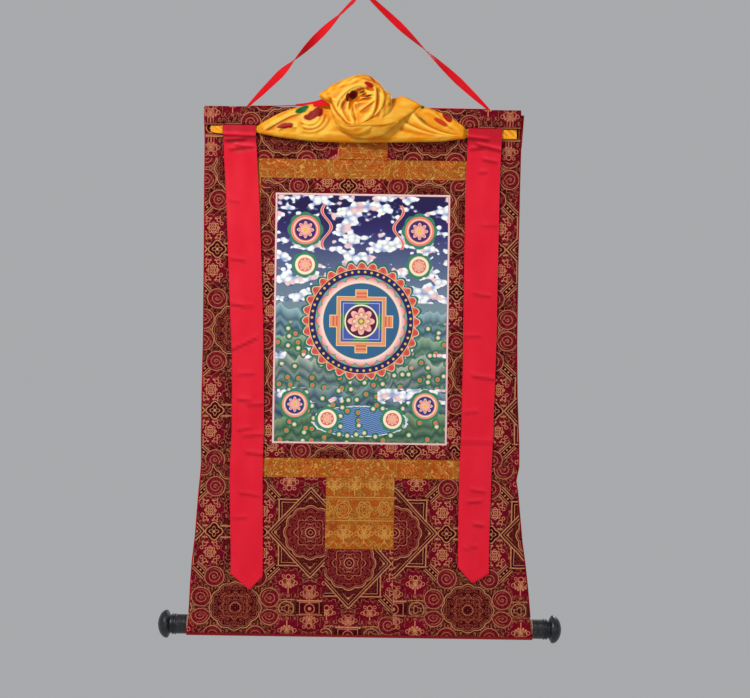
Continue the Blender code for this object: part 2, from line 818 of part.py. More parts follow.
def hem_band_point(across, along):
    x, y, z, width = smooth_row(HEM_BAND, along * (len(HEM_BAND) - 1))
    next_x, _, next_z, _ = smooth_row(HEM_BAND, min(along + 0.01, 1) * (len(HEM_BAND) - 1))
    last_x, _, last_z, _ = smooth_row(HEM_BAND, max(along - 0.01, 0) * (len(HEM_BAND) - 1))
    run = Vector((next_x - last_x, 0, next_z - last_z)).normalized()
    side = Vector((-run.z, 0, run.x))
    crown = HEM_BAND_CROWN * (1 - (2 * across - 1) ** 2)
    return Vector((x, y - crown, z)) + side * width * (across - 0.5)


def make_silk(scroll):
    """The yellow silk cover: its swag, its rosette and its hemmed end are one cloth."""
    silk = thicken(scroll.piece("silk_cover", swag_mesh("silk_cover"), "silk_yellow"), SILK_THICK)
    rosette = scroll.helper("rosette_form", rosette_mesh("rosette_form"))
    band_mesh = grid_mesh("hem_band_form", 4, 3 * (len(HEM_BAND) - 1), hem_band_point)
    band = thicken(scroll.helper("hem_band_form", band_mesh), HEM_BAND_THICK)
    for form in (rosette, band):
        join = silk.modifiers.new(f"join_{form.name}", "BOOLEAN")
        join.operation = "UNION"
        join.solver = "EXACT"
        join.object = form


def strip_mesh(name, stations, columns):
    """A flat strip along stations of (middle, direction across, width)."""
    rows = len(stations) - 1

    def place(across, down):
        middle, side, width = stations[round(down * rows)]
        return middle + side * width * (across - 0.5)

    return grid_mesh(name, columns, rows, place)


def side_of(run, degrees):
    """The direction across a tape that runs along run, turned from facing the front."""
    facing = run.cross(Vector((0, 1, 0))).normalized()
    turn = math.radians(degrees)
    return facing * math.cos(turn) + Vector((0, math.sin(turn), 0))


def tape_leg(side, twist):
    """Stations from the tape's sewn end, up behind the sleeve and on to the nail."""
    foot_x, foot_z = TAPE_FOOT[side]
    behind = HEAD_SECTION[0][0] + BROCADE_THICK / 2 + LAYER_GAP + TAPE_THICK / 2
    arc = NAIL_RADIUS + TAPE_THICK / 2
    lean = math.atan2(abs(foot_x), -foot_z)
    sign = math.copysign(1, foot_x)
    top = Vector((sign * arc * math.cos(lean), 0, -NAIL_RADIUS + arc * math.sin(lean)))
    foot = Vector((foot_x, behind, foot_z))
    forward = 1 if side == "left" else -1
    run = (top - foot).normalized() * forward
    up = Vector((0, 0, forward))
    stations = []
    first_turn, first_width = twist[0][1:]
    for below in TAPE_SEWN:
        middle = foot + Vector((0, 0, below))
        stations.append((middle, side_of(up, first_turn), TAPE_WIDTH * first_width))
    for i in range(LEG_STEPS + 1):
        part = i / LEG_STEPS
        _, degrees, width = look_up(twist, part)
        direction = up.lerp(run, min(1, part / TAPE_LEANS_BY)).normalized()
        middle = foot.lerp(top, part)
        stations.append((middle, side_of(direction, degrees), TAPE_WIDTH * width))
    return stations


def make_tape(scroll):
    """The flat red tape: sewn behind the sleeve, up over the nail and down again, with its twists."""
    left = tape_leg("left", LEFT_TWIST)
    right = tape_leg("right", RIGHT_TWIST)
    arc = NAIL_RADIUS + TAPE_THICK / 2
    bends = [math.radians(degrees) for degrees in (-30, -15, 0, 15, 30)]
    over = [
        (
            Vector((arc * math.sin(bend), 0, -NAIL_RADIUS + arc * math.cos(bend))),
            Vector((0, 1, 0)),
            TAPE_WIDTH,
        )
        for bend in bends
    ]
    mesh = strip_mesh("hanging_tape", left + over + right[::-1], 2)
    thicken(scroll.piece("hanging_tape", mesh, "tape_red"), TAPE_THICK)


def make_tie(scroll):
    """The tape's run along the top of the sleeve, which holds the knotted silk."""
    steps = 3 * (len(TIE_ROUTE) - 1)
    stations = []
    for i in range(steps + 1):
        x, y, z, degrees, width = smooth_row(TIE_ROUTE, i / 3)
        side = side_of(Vector((1, 0, 0)), 90 - degrees)
        stations.append((Vector((x, y, z)), side, TAPE_WIDTH * width))
    mesh = strip_mesh("tie_tape", stations, 2)
    thicken(scroll.piece("tie_tape", mesh, "tape_red"), TAPE_THICK)


def main():
    scroll = Scroll()
    make_lining(scroll)
    make_head(scroll)
    make_side_panels(scroll)
    make_foot(scroll)
    make_frame(scroll, "gold_strip", GOLD_BOX, INNER_BOX, "brocade_gold")
    make_frame(scroll, "inner_strip", INNER_BOX, PICTURE_BOX, "brocade_maroon")
    make_picture(scroll)
    make_top_patch(scroll)
    make_batten(scroll)
    make_roller(scroll)
    make_caps(scroll)
    for name in RIBBON_RUNS:
        make_ribbon(scroll, name)
    make_silk(scroll)
    make_tape(scroll)
    make_tie(scroll)


main()
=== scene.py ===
"""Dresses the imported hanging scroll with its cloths, brocades, silk cover, tapes and turned caps.

Lengths are in metres, in the CAD's frame: X to the right, Z up, the front facing -Y, and the origin
where the hanging tape bears on its nail. Patterns are drawn in millimetres of cloth, and colours are
given from 0 to 255 as they show on a screen. Each cloth stands where its CAD solid stands, so the
tables repeat those of the part's source, but for a few rows that come closer to the photograph: the
silk's left end, the rosette's lower left and the slope of the tied tape.
"""

import math

import bmesh
import bpy
import numpy as np
from mathutils import Matrix, Vector


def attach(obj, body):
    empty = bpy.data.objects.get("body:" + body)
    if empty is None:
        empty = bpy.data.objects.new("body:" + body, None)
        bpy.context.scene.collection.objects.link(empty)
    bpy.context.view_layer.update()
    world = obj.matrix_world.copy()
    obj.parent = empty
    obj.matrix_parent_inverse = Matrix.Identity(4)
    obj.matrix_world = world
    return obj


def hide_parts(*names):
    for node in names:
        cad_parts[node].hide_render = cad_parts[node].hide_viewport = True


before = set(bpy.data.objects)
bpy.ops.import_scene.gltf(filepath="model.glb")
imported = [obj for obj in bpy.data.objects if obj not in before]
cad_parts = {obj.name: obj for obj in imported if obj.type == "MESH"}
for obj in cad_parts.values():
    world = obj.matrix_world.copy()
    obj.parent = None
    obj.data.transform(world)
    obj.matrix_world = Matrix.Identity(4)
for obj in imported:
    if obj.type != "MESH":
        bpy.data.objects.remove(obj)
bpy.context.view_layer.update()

# sizes that the CAD has too
LINING_THICK = 0.0010
BROCADE_THICK = 0.0015
PATCH_THICK = 0.0012
RIBBON_THICK = 0.0010
SILK_THICK = 0.0010
TAPE_THICK = 0.0010
SEAM_GAP = 0.0003
LAYER_GAP = 0.0004
PICTURE_WIDTH = 0.300
PICTURE_HEIGHT = 0.430
PICTURE_TOP = -0.3465
PICTURE_MIDDLE = 0.005
INNER_STRIP = 0.0255
GOLD_STRIP = 0.033
DOOR_MIDDLE = 0.0075
DOOR_WIDTH = 0.118
DOOR_HEIGHT = 0.1225
SIDE_SEAM = -0.8135
TOP_PATCH_MIDDLE = 0.004
TOP_PATCH_WIDTH = 0.0845
TOP_PATCH_HEIGHT = 0.043
SLEEVE_BOTTOM = -0.232
LINING_TOP = -0.2075
ROLLER_AXIS = -1.0900
ROLLER_ENDS = (-0.2860, 0.3060)
TENON_RADIUS = 0.0125
TENON_LENGTH = 0.020
CAP_FIT = 0.0003
CAP_SHARP_FROM = math.radians(50)
LINING_MARGIN = 0.0022
RIGHT_MARGINS = ((-0.204, 0.0065), (-0.262, 0.0030), (-0.266, LINING_MARGIN))
SWELL_DEPTH = 0.0020
SWELL_ACROSS = 0.47
SWELL_DOWN = 0.90
SWELL_FROM = -0.30
SWELL_TO = -1.04
SWELL_FADE = 0.10
RIPPLE_FROM = -0.245
RIPPLE_TO = -1.062
RIPPLE_FADE = 0.05
TAPE_WIDTH = 0.013
TAPE_EDGE_SHARE = 0.05
NAIL_RADIUS = 0.003
TAPE_SEWN = (-0.022, -0.0167, -0.0113)
TAPE_LEANS_BY = 0.125
FLAT_ABOVE_WRAP = 0.0055
BROCADE_FRONT = LAYER_GAP + BROCADE_THICK / 2
PATCH_FRONT = LAYER_GAP + BROCADE_THICK + LAYER_GAP + PATCH_THICK / 2

# width and length of the sheets that aren't worked out from the sizes above
FLAT_SIZES = {
    "head": (0.541, 0.140),
    "foot_side": (0.226, 0.292),
    "foot_middle": (0.1175, 0.149),
    "silk_cover": (0.540, 0.140),
    "hanging_tape": (0.0125, 0.62),
    "tie_tape": (0.0105, 0.47),
}
LINING_MEAN_WIDTH = 0.565
LINING_WRAP_RADIUS = 0.019
SIDE_MEAN_WIDTH = 0.0625

# the distance between a mesh's rows or columns, and a height within the foot
CLOTH_STEP = 0.004
FOOT_MIDDLE = -0.95
# half the brocade's repeat across and down, in millimetres, and that of the foot's pieces
HALF_REPEAT = (128.0, 138.5)
FOOT_HALF_REPEAT = (127.5, 131.0)
GOLD_SCALE = 1.5

# height, left edge, right edge of the brocade
CLOTH_EDGES = (
    (-0.2, -0.269, 0.2735), (-0.262, -0.2665, 0.2735), (-0.33, -0.2665, 0.2725), (-0.44, -0.2655, 0.2715),
    (-0.6, -0.2645, 0.2715), (-0.69, -0.2655, 0.2735), (-0.77, -0.2655, 0.2775), (-0.812, -0.2645, 0.278),
    (-0.835, -0.266, 0.2735), (-0.856, -0.268, 0.277), (-0.9, -0.271, 0.2815), (-0.94, -0.2735, 0.2855),
    (-0.98, -0.278, 0.2915), (-1.02, -0.2805, 0.2965), (-1.06, -0.282, 0.3005), (-1.11, -0.285, 0.3045),
)

# depth, height of the head's brocade at the middle of its thickness, from its end behind the batten
HEAD_SECTION = (
    (0.0021, -0.2215), (0.0021, -0.207), (0.0008, -0.2022), (-0.0025, -0.20075), (-0.0085, -0.20075),
    (-0.0122, -0.2023), (-0.0135, -0.2065), (-0.0135, -0.225), (-0.0123, -0.2298), (-0.009, -0.23125),
    (-0.0042, -0.23125), (-0.0017, -0.2334), (-0.00105, -0.2375),
)

# degrees from straight up, positive to the back, and distance from the roller's axis
LINING_WRAP = (
    (2, 0.0208), (22, 0.0196), (48, 0.0195), (78, 0.0195), (107, 0.0194), (134, 0.019), (158, 0.0186),
    (180, 0.0183), (202, 0.0181), (222, 0.0181), (238, 0.0182), (252, 0.0182),
)
BROCADE_WRAP = (
    (-3, 0.0218), (-17, 0.0203), (-41, 0.0203), (-66, 0.0205), (-90, 0.0206), (-108, 0.0205),
    (-123, 0.0204),
)

# height, middle, width, and distance in front of the lining
RIBBON_RUNS = {
    "ribbon_left": (
        (-0.2322, -0.2092, 0.0567, 0.011), (-0.252, -0.2082, 0.0567, 0.011),
        (-0.262, -0.2075, 0.056, 0.0086), (-0.272, -0.2068, 0.0565, 0.0082),
        (-0.3, -0.2052, 0.0567, 0.006), (-0.343, -0.2025, 0.0567, 0.0052),
        (-0.414, -0.1985, 0.0567, 0.006), (-0.484, -0.1952, 0.0567, 0.0052),
        (-0.556, -0.1918, 0.056, 0.0058), (-0.628, -0.1887, 0.055, 0.005),
        (-0.69, -0.1876, 0.055, 0.0057), (-0.752, -0.1869, 0.0552, 0.0052),
        (-0.814, -0.1882, 0.0562, 0.006), (-0.876, -0.1876, 0.0562, 0.0052),
        (-0.93, -0.1862, 0.0555, 0.0058), (-0.979, -0.1853, 0.0552, 0.0054),
    ),
    "ribbon_right": (
        (-0.2322, 0.2129, 0.0584, 0.011), (-0.252, 0.2123, 0.0584, 0.0108),
        (-0.265, 0.2118, 0.058, 0.0084), (-0.278, 0.2114, 0.0584, 0.0078),
        (-0.306, 0.2107, 0.058, 0.0056), (-0.375, 0.2098, 0.0584, 0.0058),
        (-0.457, 0.2093, 0.0584, 0.005), (-0.535, 0.2092, 0.0575, 0.0058),
        (-0.612, 0.209, 0.0567, 0.0051), (-0.68, 0.2078, 0.0558, 0.0056), (-0.749, 0.2068, 0.055, 0.0051),
        (-0.835, 0.2046, 0.055, 0.0059), (-0.886, 0.204, 0.0545, 0.0052),
        (-0.939, 0.2035, 0.0533, 0.0057),
    ),
}
# across from the ribbon's left edge, height of its cut end there
RIBBON_ENDS = {
    "ribbon_left": ((0, -1.0013), (0.59, -1.0300), (1, -1.0056)),
    "ribbon_right": ((0, -0.9853), (0.49, -1.0132), (1, -0.9965)),
}

# place across, top of the front, lower fold, how far the front stands out, depth of its folds
SWAG_STATIONS = (
    (-0.258, -0.2392, -0.2428, 0.0068, 0), (-0.252, -0.2362, -0.2452, 0.0072, 0.0002),
    (-0.244, -0.2345, -0.2462, 0.0075, 0.0004), (-0.23, -0.2343, -0.247, 0.0075, 0.0004),
    (-0.205, -0.2343, -0.246, 0.0075, 0.0004), (-0.179, -0.234, -0.244, 0.0077, 0.0004),
    (-0.1745, -0.2334, -0.2459, 0.014, 0.001), (-0.1688, -0.2306, -0.247, 0.0182, 0.002),
    (-0.1549, -0.2224, -0.2495, 0.0186, 0.0034), (-0.1389, -0.2139, -0.2521, 0.019, 0.0044),
    (-0.122, -0.2076, -0.2542, 0.0196, 0.0054), (-0.1051, -0.2027, -0.256, 0.0202, 0.0066),
    (-0.0892, -0.1987, -0.2575, 0.0208, 0.0074), (-0.0733, -0.1961, -0.2587, 0.0214, 0.0078),
    (-0.0534, -0.1946, -0.2592, 0.0218, 0.007), (-0.0296, -0.1939, -0.2594, 0.022, 0.006),
    (0.0002, -0.1934, -0.2591, 0.022, 0.0055), (0.03, -0.192, -0.2586, 0.022, 0.006),
    (0.0548, -0.186, -0.2582, 0.0216, 0.0066), (0.0747, -0.1841, -0.2577, 0.0212, 0.007),
    (0.0916, -0.1909, -0.2573, 0.0206, 0.007), (0.1075, -0.1992, -0.2566, 0.0202, 0.0062),
    (0.1224, -0.2043, -0.2562, 0.0198, 0.0054), (0.1373, -0.2098, -0.2555, 0.0192, 0.0046),
    (0.1522, -0.2172, -0.2533, 0.0187, 0.0036), (0.1672, -0.2265, -0.2512, 0.0183, 0.0024),
    (0.1741, -0.231, -0.2506, 0.0178, 0.0016), (0.1778, -0.2343, -0.2496, 0.0135, 0.0008),
    (0.1815, -0.234, -0.2478, 0.0077, 0.0004), (0.22, -0.2343, -0.2488, 0.0075, 0.0004),
    (0.248, -0.2345, -0.249, 0.0075, 0.0006), (0.267, -0.2352, -0.2488, 0.0072, 0.0004),
)
HEM_DEPTH = -0.0048
HEM_HEIGHT = SLEEVE_BOTTOM - LAYER_GAP
SWAG_TURN_HEIGHT = 0.0045
SWAG_TURN_SHARE = 0.35
SWAG_REACH = 0.0090
SWAG_DEPTH = 0.024
SWAG_FLAT_FRONT = 0.0078
SWAG_FULL_OVER = 0.008

# The rosette is the same silk wound round itself: its outline about a middle, and its depth.
ROSETTE_MIDDLE = (-0.0075, -0.2005)
ROSETTE_BACK = -0.0180
ROSETTE_FRONT = -0.0580
FOLDS_DEPTH = 0.047
HOLLOWS_DEPTH = 0.05
# degrees counterclockwise from +X, distance from the middle
ROSETTE_OUTLINE = (
    (0, 0.0591), (20, 0.0611), (30, 0.0547), (63, 0.0552), (78, 0.0552), (104, 0.0502), (129, 0.0512),
    (155, 0.0601), (163, 0.068), (168, 0.0665), (174, 0.049), (180, 0.0455), (203, 0.0452), (218, 0.0462),
    (233, 0.0478), (250, 0.049), (280, 0.0522), (315, 0.0561), (340, 0.0571), (360, 0.0591),
)

# Where each leg of the hanging tape leaves the back of the sleeve: place across, height
TAPE_FOOT = {"left": (-0.1948, -0.1975), "right": (0.2197, -0.1985)}
# part of the way from the sleeve to the nail, turn of the flat tape in degrees, part of its width
LEFT_TWIST = (
    (0, -180, 0.4), (0.12, -180, 0.75), (0.27, -180, 1), (0.42, -90, 1), (0.64, 0, 1), (0.8, 70, 1),
    (0.92, 55, 1), (1, 90, 1),
)
RIGHT_TWIST = (
    (0, 0, 0.4), (0.12, 0, 0.75), (0.24, 0, 1), (0.54, 90, 1), (0.72, 150, 1), (0.93, 115, 1), (1, 90, 1),
)
# The tape's ends run along the sleeve to the knot: place, depth, height, turn, part of the width
TIE_ROUTE = (
    (-0.19, -0.0055, -0.1988, 0, 0.5), (-0.16, -0.0055, -0.1988, 0, 0.8),
    (-0.135, -0.0055, -0.1976, 10, 0.9), (-0.115, -0.0055, -0.197, 14, 0.9),
    (-0.095, -0.006, -0.1955, 22, 0.9), (-0.075, -0.0065, -0.1945, 30, 0.9),
    (-0.055, -0.0065, -0.1935, 36, 0.9), (-0.025, -0.006, -0.1925, 20, 0.9),
    (0.015, -0.0055, -0.1955, 0, 0.9), (0.06, -0.0055, -0.1983, 0, 0.9), (0.1, -0.0055, -0.1988, 0, 0.8),
    (0.15, -0.0055, -0.1988, 0, 0.7), (0.215, -0.0055, -0.1988, 0, 0.5),
)
# along from the cloth side of a cap, its radius
CAP_PROFILE = (
    (0, 0.0165), (0.018, 0.0165), (0.0188, 0.0177), (0.0206, 0.0177), (0.0214, 0.0164), (0.0224, 0.0164),
    (0.0232, 0.0177), (0.025, 0.0177), (0.0258, 0.016), (0.0287, 0.0157), (0.0305, 0.019),
    (0.0328, 0.0232), (0.0355, 0.024), (0.0387, 0.0231), (0.0423, 0.0207), (0.0457, 0.0165),
    (0.0483, 0.0106), (0.0496, 0.0054), (0.05, 0),
)

# the photograph's view
PHOTO_SCALE = 0.001719  # metres to a pixel at Y = 0
PHOTO_ROLL = math.radians(0.85)
PHOTO_DISTANCE = 3.0
PHOTO_SIZE = (750, 698)
NAIL_PIXEL = (363.2, -7.6)


def photo_plane(px, py):
    """Where a pixel of the photograph meets the plane Y = 0."""
    right, down = px - NAIL_PIXEL[0], py - NAIL_PIXEL[1]
    cos, sin = math.cos(PHOTO_ROLL), math.sin(PHOTO_ROLL)
    return np.array((right * cos + down * sin, right * sin - down * cos)) * PHOTO_SCALE


PHOTO_CENTRE = photo_plane(PHOTO_SIZE[0] / 2, PHOTO_SIZE[1] / 2)


def seen(px, py, depth):
    """Where a pixel of the photograph lies across and up, on something that far in front."""
    plane = photo_plane(px, py)
    return PHOTO_CENTRE + (plane - PHOTO_CENTRE) * (1 - depth / PHOTO_DISTANCE)


def make_camera():
    cos, sin = math.cos(PHOTO_ROLL), math.sin(PHOTO_ROLL)
    camera = bpy.data.objects.new("camera", bpy.data.cameras.new("camera"))
    bpy.context.scene.collection.objects.link(camera)
    camera.data.sensor_width = 36
    camera.data.lens = 36 * PHOTO_DISTANCE / (PHOTO_SIZE[0] * PHOTO_SCALE)
    camera.matrix_world = Matrix(
        (
            (cos, -sin, 0, PHOTO_CENTRE[0]),
            (0, 0, -1, -PHOTO_DISTANCE),
            (sin, cos, 0, PHOTO_CENTRE[1]),
            (0, 0, 0, 1),
        )
    )
    bpy.context.scene.camera = camera


make_camera()

# tables and cloth surfaces


def columns_at(rows, at):
    """The table's columns at places in its first column, mixed in between."""
    table = np.asarray(rows, float)
    if table[0, 0] > table[-1, 0]:
        table = table[::-1]
    return [np.interp(at, table[:, 0], table[:, i]) for i in range(1, table.shape[1])]


def smooth_rows(rows, place):
    """The table's rows at places counted in rows, on a smooth curve through all of them."""
    table = np.asarray(rows, float)
    place = np.asarray(place, float)
    last = len(table) - 1
    i = np.clip(place.astype(int), 0, last - 1)
    t = (place - i)[..., None]
    a, b, c, d = (table[np.clip(i + k, 0, last)] for k in (-1, 0, 1, 2))
    return b + 0.5 * t * (c - a + t * (2 * a - 5 * b + 4 * c - d + t * (3 * (b - c) + d - a)))


def smoothed(rows, steps):
    """The table's rows on a smooth curve, with a number of steps from each to the next."""
    return smooth_rows(rows, np.arange(steps * (len(rows) - 1) + 1) / steps)


def stacked(*columns):
    """Points, or rows of a table, from arrays of their coordinates."""
    return np.stack(columns, axis=-1)


def bell(off, width):
    """1 where a distance is 0, and next to nothing at twice the width."""
    return np.exp(-((off / width) ** 2))


def smooth_step(part):
    part = np.clip(part, 0, 1)
    return part * part * (3 - 2 * part)


def swell(x, z):
    """How far behind Y = 0 the lining's front face lies, with the cloth's finer waves."""
    ends = smooth_step((SWELL_FROM - z) / SWELL_FADE) * smooth_step((z - SWELL_TO) / SWELL_FADE)
    wave = np.sin(2 * np.pi * x / SWELL_ACROSS + 0.6)
    drift = 0.75 + 0.25 * np.sin(2 * np.pi * z / SWELL_DOWN)
    near = smooth_step((RIPPLE_FROM - z) / RIPPLE_FADE) * smooth_step((z - RIPPLE_TO) / RIPPLE_FADE)
    fine = 0.00040 * np.sin(2 * np.pi * (x / 0.097 + z / 0.41))
    fine += 0.00028 * np.sin(2 * np.pi * (x / 0.053 - z / 0.23) + 0.8)
    fine += 0.00020 * np.sin(2 * np.pi * (z / 0.061 + x / 0.33))
    return SWELL_DEPTH * ends * wave * drift + near * fine


def left_edge(z):
    return columns_at(CLOTH_EDGES, z)[0]


def right_edge(z):
    return columns_at(CLOTH_EDGES, z)[1]


def stops(length, step, rim=(0.0006, 0.0016, 0.0035)):
    """Places from 0 to 1 along a cloth, about a step apart, and closer at both its edges."""
    if length <= 4 * rim[-1]:
        return np.linspace(0, 1, max(3, round(length / step) + 1))
    count = max(2, round((length - 2 * rim[-1]) / step))
    middle = np.linspace(rim[-1], length - rim[-1], count + 1)
    ends = np.array((0,) + rim[:-1])
    return np.concatenate((ends, middle, length - ends[::-1])) / length


def grid_mesh(name, points, uvs, attributes=None, around=False):
    """A mesh of quads over rows and columns of points, seen from the front with columns to the right."""
    rows, columns = points.shape[:2]
    row, column = np.meshgrid(
        np.arange(rows - 1), np.arange(columns if around else columns - 1), indexing="ij"
    )
    after = (column + 1) % columns
    corners = np.stack(
        (
            row * columns + column,
            (row + 1) * columns + column,
            (row + 1) * columns + after,
            row * columns + after,
        ),
        axis=-1,
    ).reshape(-1, 4)
    mesh = bpy.data.meshes.new(name)
    mesh.vertices.add(rows * columns)
    mesh.vertices.foreach_set("co", points.reshape(-1).astype(np.float32))
    mesh.loops.add(corners.size)
    mesh.loops.foreach_set("vertex_index", corners.reshape(-1).astype(np.int32))
    mesh.polygons.add(len(corners))
    mesh.polygons.foreach_set("loop_start", np.arange(0, corners.size, 4, dtype=np.int32))
    layer = mesh.uv_layers.new(name="cloth")
    layer.data.foreach_set("uv", uvs.reshape(-1, 2)[corners.reshape(-1)].reshape(-1).astype(np.float32))
    for key, values in (attributes or {}).items():
        attribute = mesh.attributes.new(key, "FLOAT", "POINT")
        attribute.data.foreach_set("value", values.reshape(-1).astype(np.float32))
    mesh.update()
    mesh.validate()
    mesh.shade_smooth()
    return mesh


def add_object(name, mesh, material):
    obj = bpy.data.objects.new(name, mesh)
    bpy.context.scene.collection.objects.link(obj)
    mesh.materials.clear()
    mesh.materials.append(material)
    return obj


def stands_for(obj, node):
    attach(obj, "root")
    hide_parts(node)


def joined(parts):
    """Several meshes as one."""
    bm = bmesh.new()
    for part in parts:
        bm.from_mesh(part)
    mesh = bpy.data.meshes.new(parts[0].name)
    bm.to_mesh(mesh)
    bm.free()
    mesh.shade_smooth()
    return mesh


def thickened(obj, thickness):
    solidify = obj.modifiers.new("thickness", "SOLIDIFY")
    solidify.thickness = thickness
    solidify.offset = 0


def cloth(node, mesh, material, flat, thickness=BROCADE_THICK):
    obj = add_object(node + "_cloth", mesh, material)
    thickened(obj, thickness)
    stands_for(obj, node)


def corners_of(box):
    left, top, right, bottom = box
    return [(left, top), (right, top), (right, bottom), (left, bottom)]


def grown(box, by):
    left, top, right, bottom = box
    return left - by, top + by, right + by, bottom - by


PICTURE_BOX = (
    PICTURE_MIDDLE - PICTURE_WIDTH / 2,
    PICTURE_TOP,
    PICTURE_MIDDLE + PICTURE_WIDTH / 2,
    PICTURE_TOP - PICTURE_HEIGHT,
)
INNER_BOX = grown(PICTURE_BOX, INNER_STRIP)
GOLD_BOX = grown(INNER_BOX, GOLD_STRIP)


def inset(corners, distance):
    """A four-sided outline, clockwise from its top left, with each side moved in."""
    lines = []
    for i, (x, z) in enumerate(corners):
        next_x, next_z = corners[(i + 1) % 4]
        along = Vector((next_x - x, next_z - z)).normalized()
        inwards = Vector((along.y, -along.x))
        lines.append((Vector((x, z)) + inwards * distance, along))
    moved = []
    for i in range(4):
        (a, along_a), (b, along_b) = lines[i - 1], lines[i]
        step = (b - a).cross(along_b) / along_a.cross(along_b)
        moved.append(tuple(a + along_a * step))
    return moved


def tucked(across, down, width, length, reach=0.0022, depth=0.0003):
    """How far a sewn edge lies behind the cloth beside it."""
    near = np.minimum(
        np.minimum(across, 1 - across) * width,
        np.minimum(down, 1 - down) * length,
    )
    return depth * (1 - np.clip(near / reach, 0, 1)) ** 2


def flat_piece(name, corners, front, step=0.005):
    """A flat cloth between four corners."""
    top_left, top_right, bottom_right, bottom_left = (
        np.array(corner) for corner in inset(corners, SEAM_GAP / 2)
    )
    width = float(np.linalg.norm(top_right - top_left + bottom_right - bottom_left)) / 2
    length = float(np.linalg.norm(bottom_left - top_left + bottom_right - top_right)) / 2
    across, down = np.meshgrid(stops(width, step), stops(length, step))
    a, d = across[..., None], down[..., None]
    flat = (top_left * (1 - a) + top_right * a) * (1 - d) + (bottom_left * (1 - a) + bottom_right * a) * d
    x, z = flat[..., 0], flat[..., 1]
    y = swell(x, z) - front + tucked(across, down, width, length)
    return grid_mesh(name, stacked(x, y, z), flat)


def section_piece(name, section, left_of, right_of, anchor, step=0.005):
    """A cloth whose rows follow a section of (depth, height), with its pattern's height true at anchor."""
    section = np.asarray(section, float)
    run = np.concatenate(((0,), np.cumsum(np.linalg.norm(np.diff(section, axis=0), axis=1))))
    pattern = anchor[1] - (run - run[anchor[0]])
    z = section[:, 1:2]
    left, right = left_of(z), right_of(z)
    width = float(np.mean(right - left))
    across = stops(width, step)[None, :]
    x = left + (right - left) * across
    z = np.broadcast_to(z, x.shape)
    y = swell(x, z) + section[:, :1] + tucked(across, 0.5, width, 1)
    uvs = stacked(x, np.broadcast_to(pattern[:, None], x.shape))
    return grid_mesh(name, stacked(x, y, z), uvs)


def straight(depth, top, bottom, step=0.005):
    heights = top + (bottom - top) * stops(abs(top - bottom), step)
    return [(depth, height) for height in heights]


def wrapped(wrap, step=5.0):
    """Depth and height about the roller, from a table of degrees and distances."""
    first, last = wrap[0][0], wrap[-1][0]
    count = round(abs(last - first) / step)
    degrees = np.linspace(first, last, count + 1)
    distance = columns_at(wrap, degrees)[0]
    turn = np.radians(degrees)
    return list(zip(distance * np.sin(turn), ROLLER_AXIS + distance * np.cos(turn)))


# node maths

CONTOUR_SOFT = 0.09


def shader_colour(values):
    """A colour in a shader's terms, from its values from 0 to 255 on a screen."""
    shares = [value / 255 for value in values]
    linear = [s / 12.92 if s <= 0.0404 else ((s + 0.055) / 1.055) ** 2.4 for s in shares]
    return (*linear, 1)


class Wire:
    """A number that a node puts out. Sums of wires make more nodes."""

    def __init__(self, graph, socket):
        self.graph = graph
        self.socket = socket

    def math(self, operation, *others, clamp=False):
        return self.graph.math(operation, self, *others, clamp=clamp)

    def __add__(self, other):
        return self.math("ADD", other)

    __radd__ = __add__

    def __sub__(self, other):
        return self.math("SUBTRACT", other)

    def __rsub__(self, other):
        return self.graph.math("SUBTRACT", other, self)

    def __mul__(self, other):
        return self.math("MULTIPLY", other)

    __rmul__ = __mul__

    def __abs__(self):
        return self.math("ABSOLUTE")


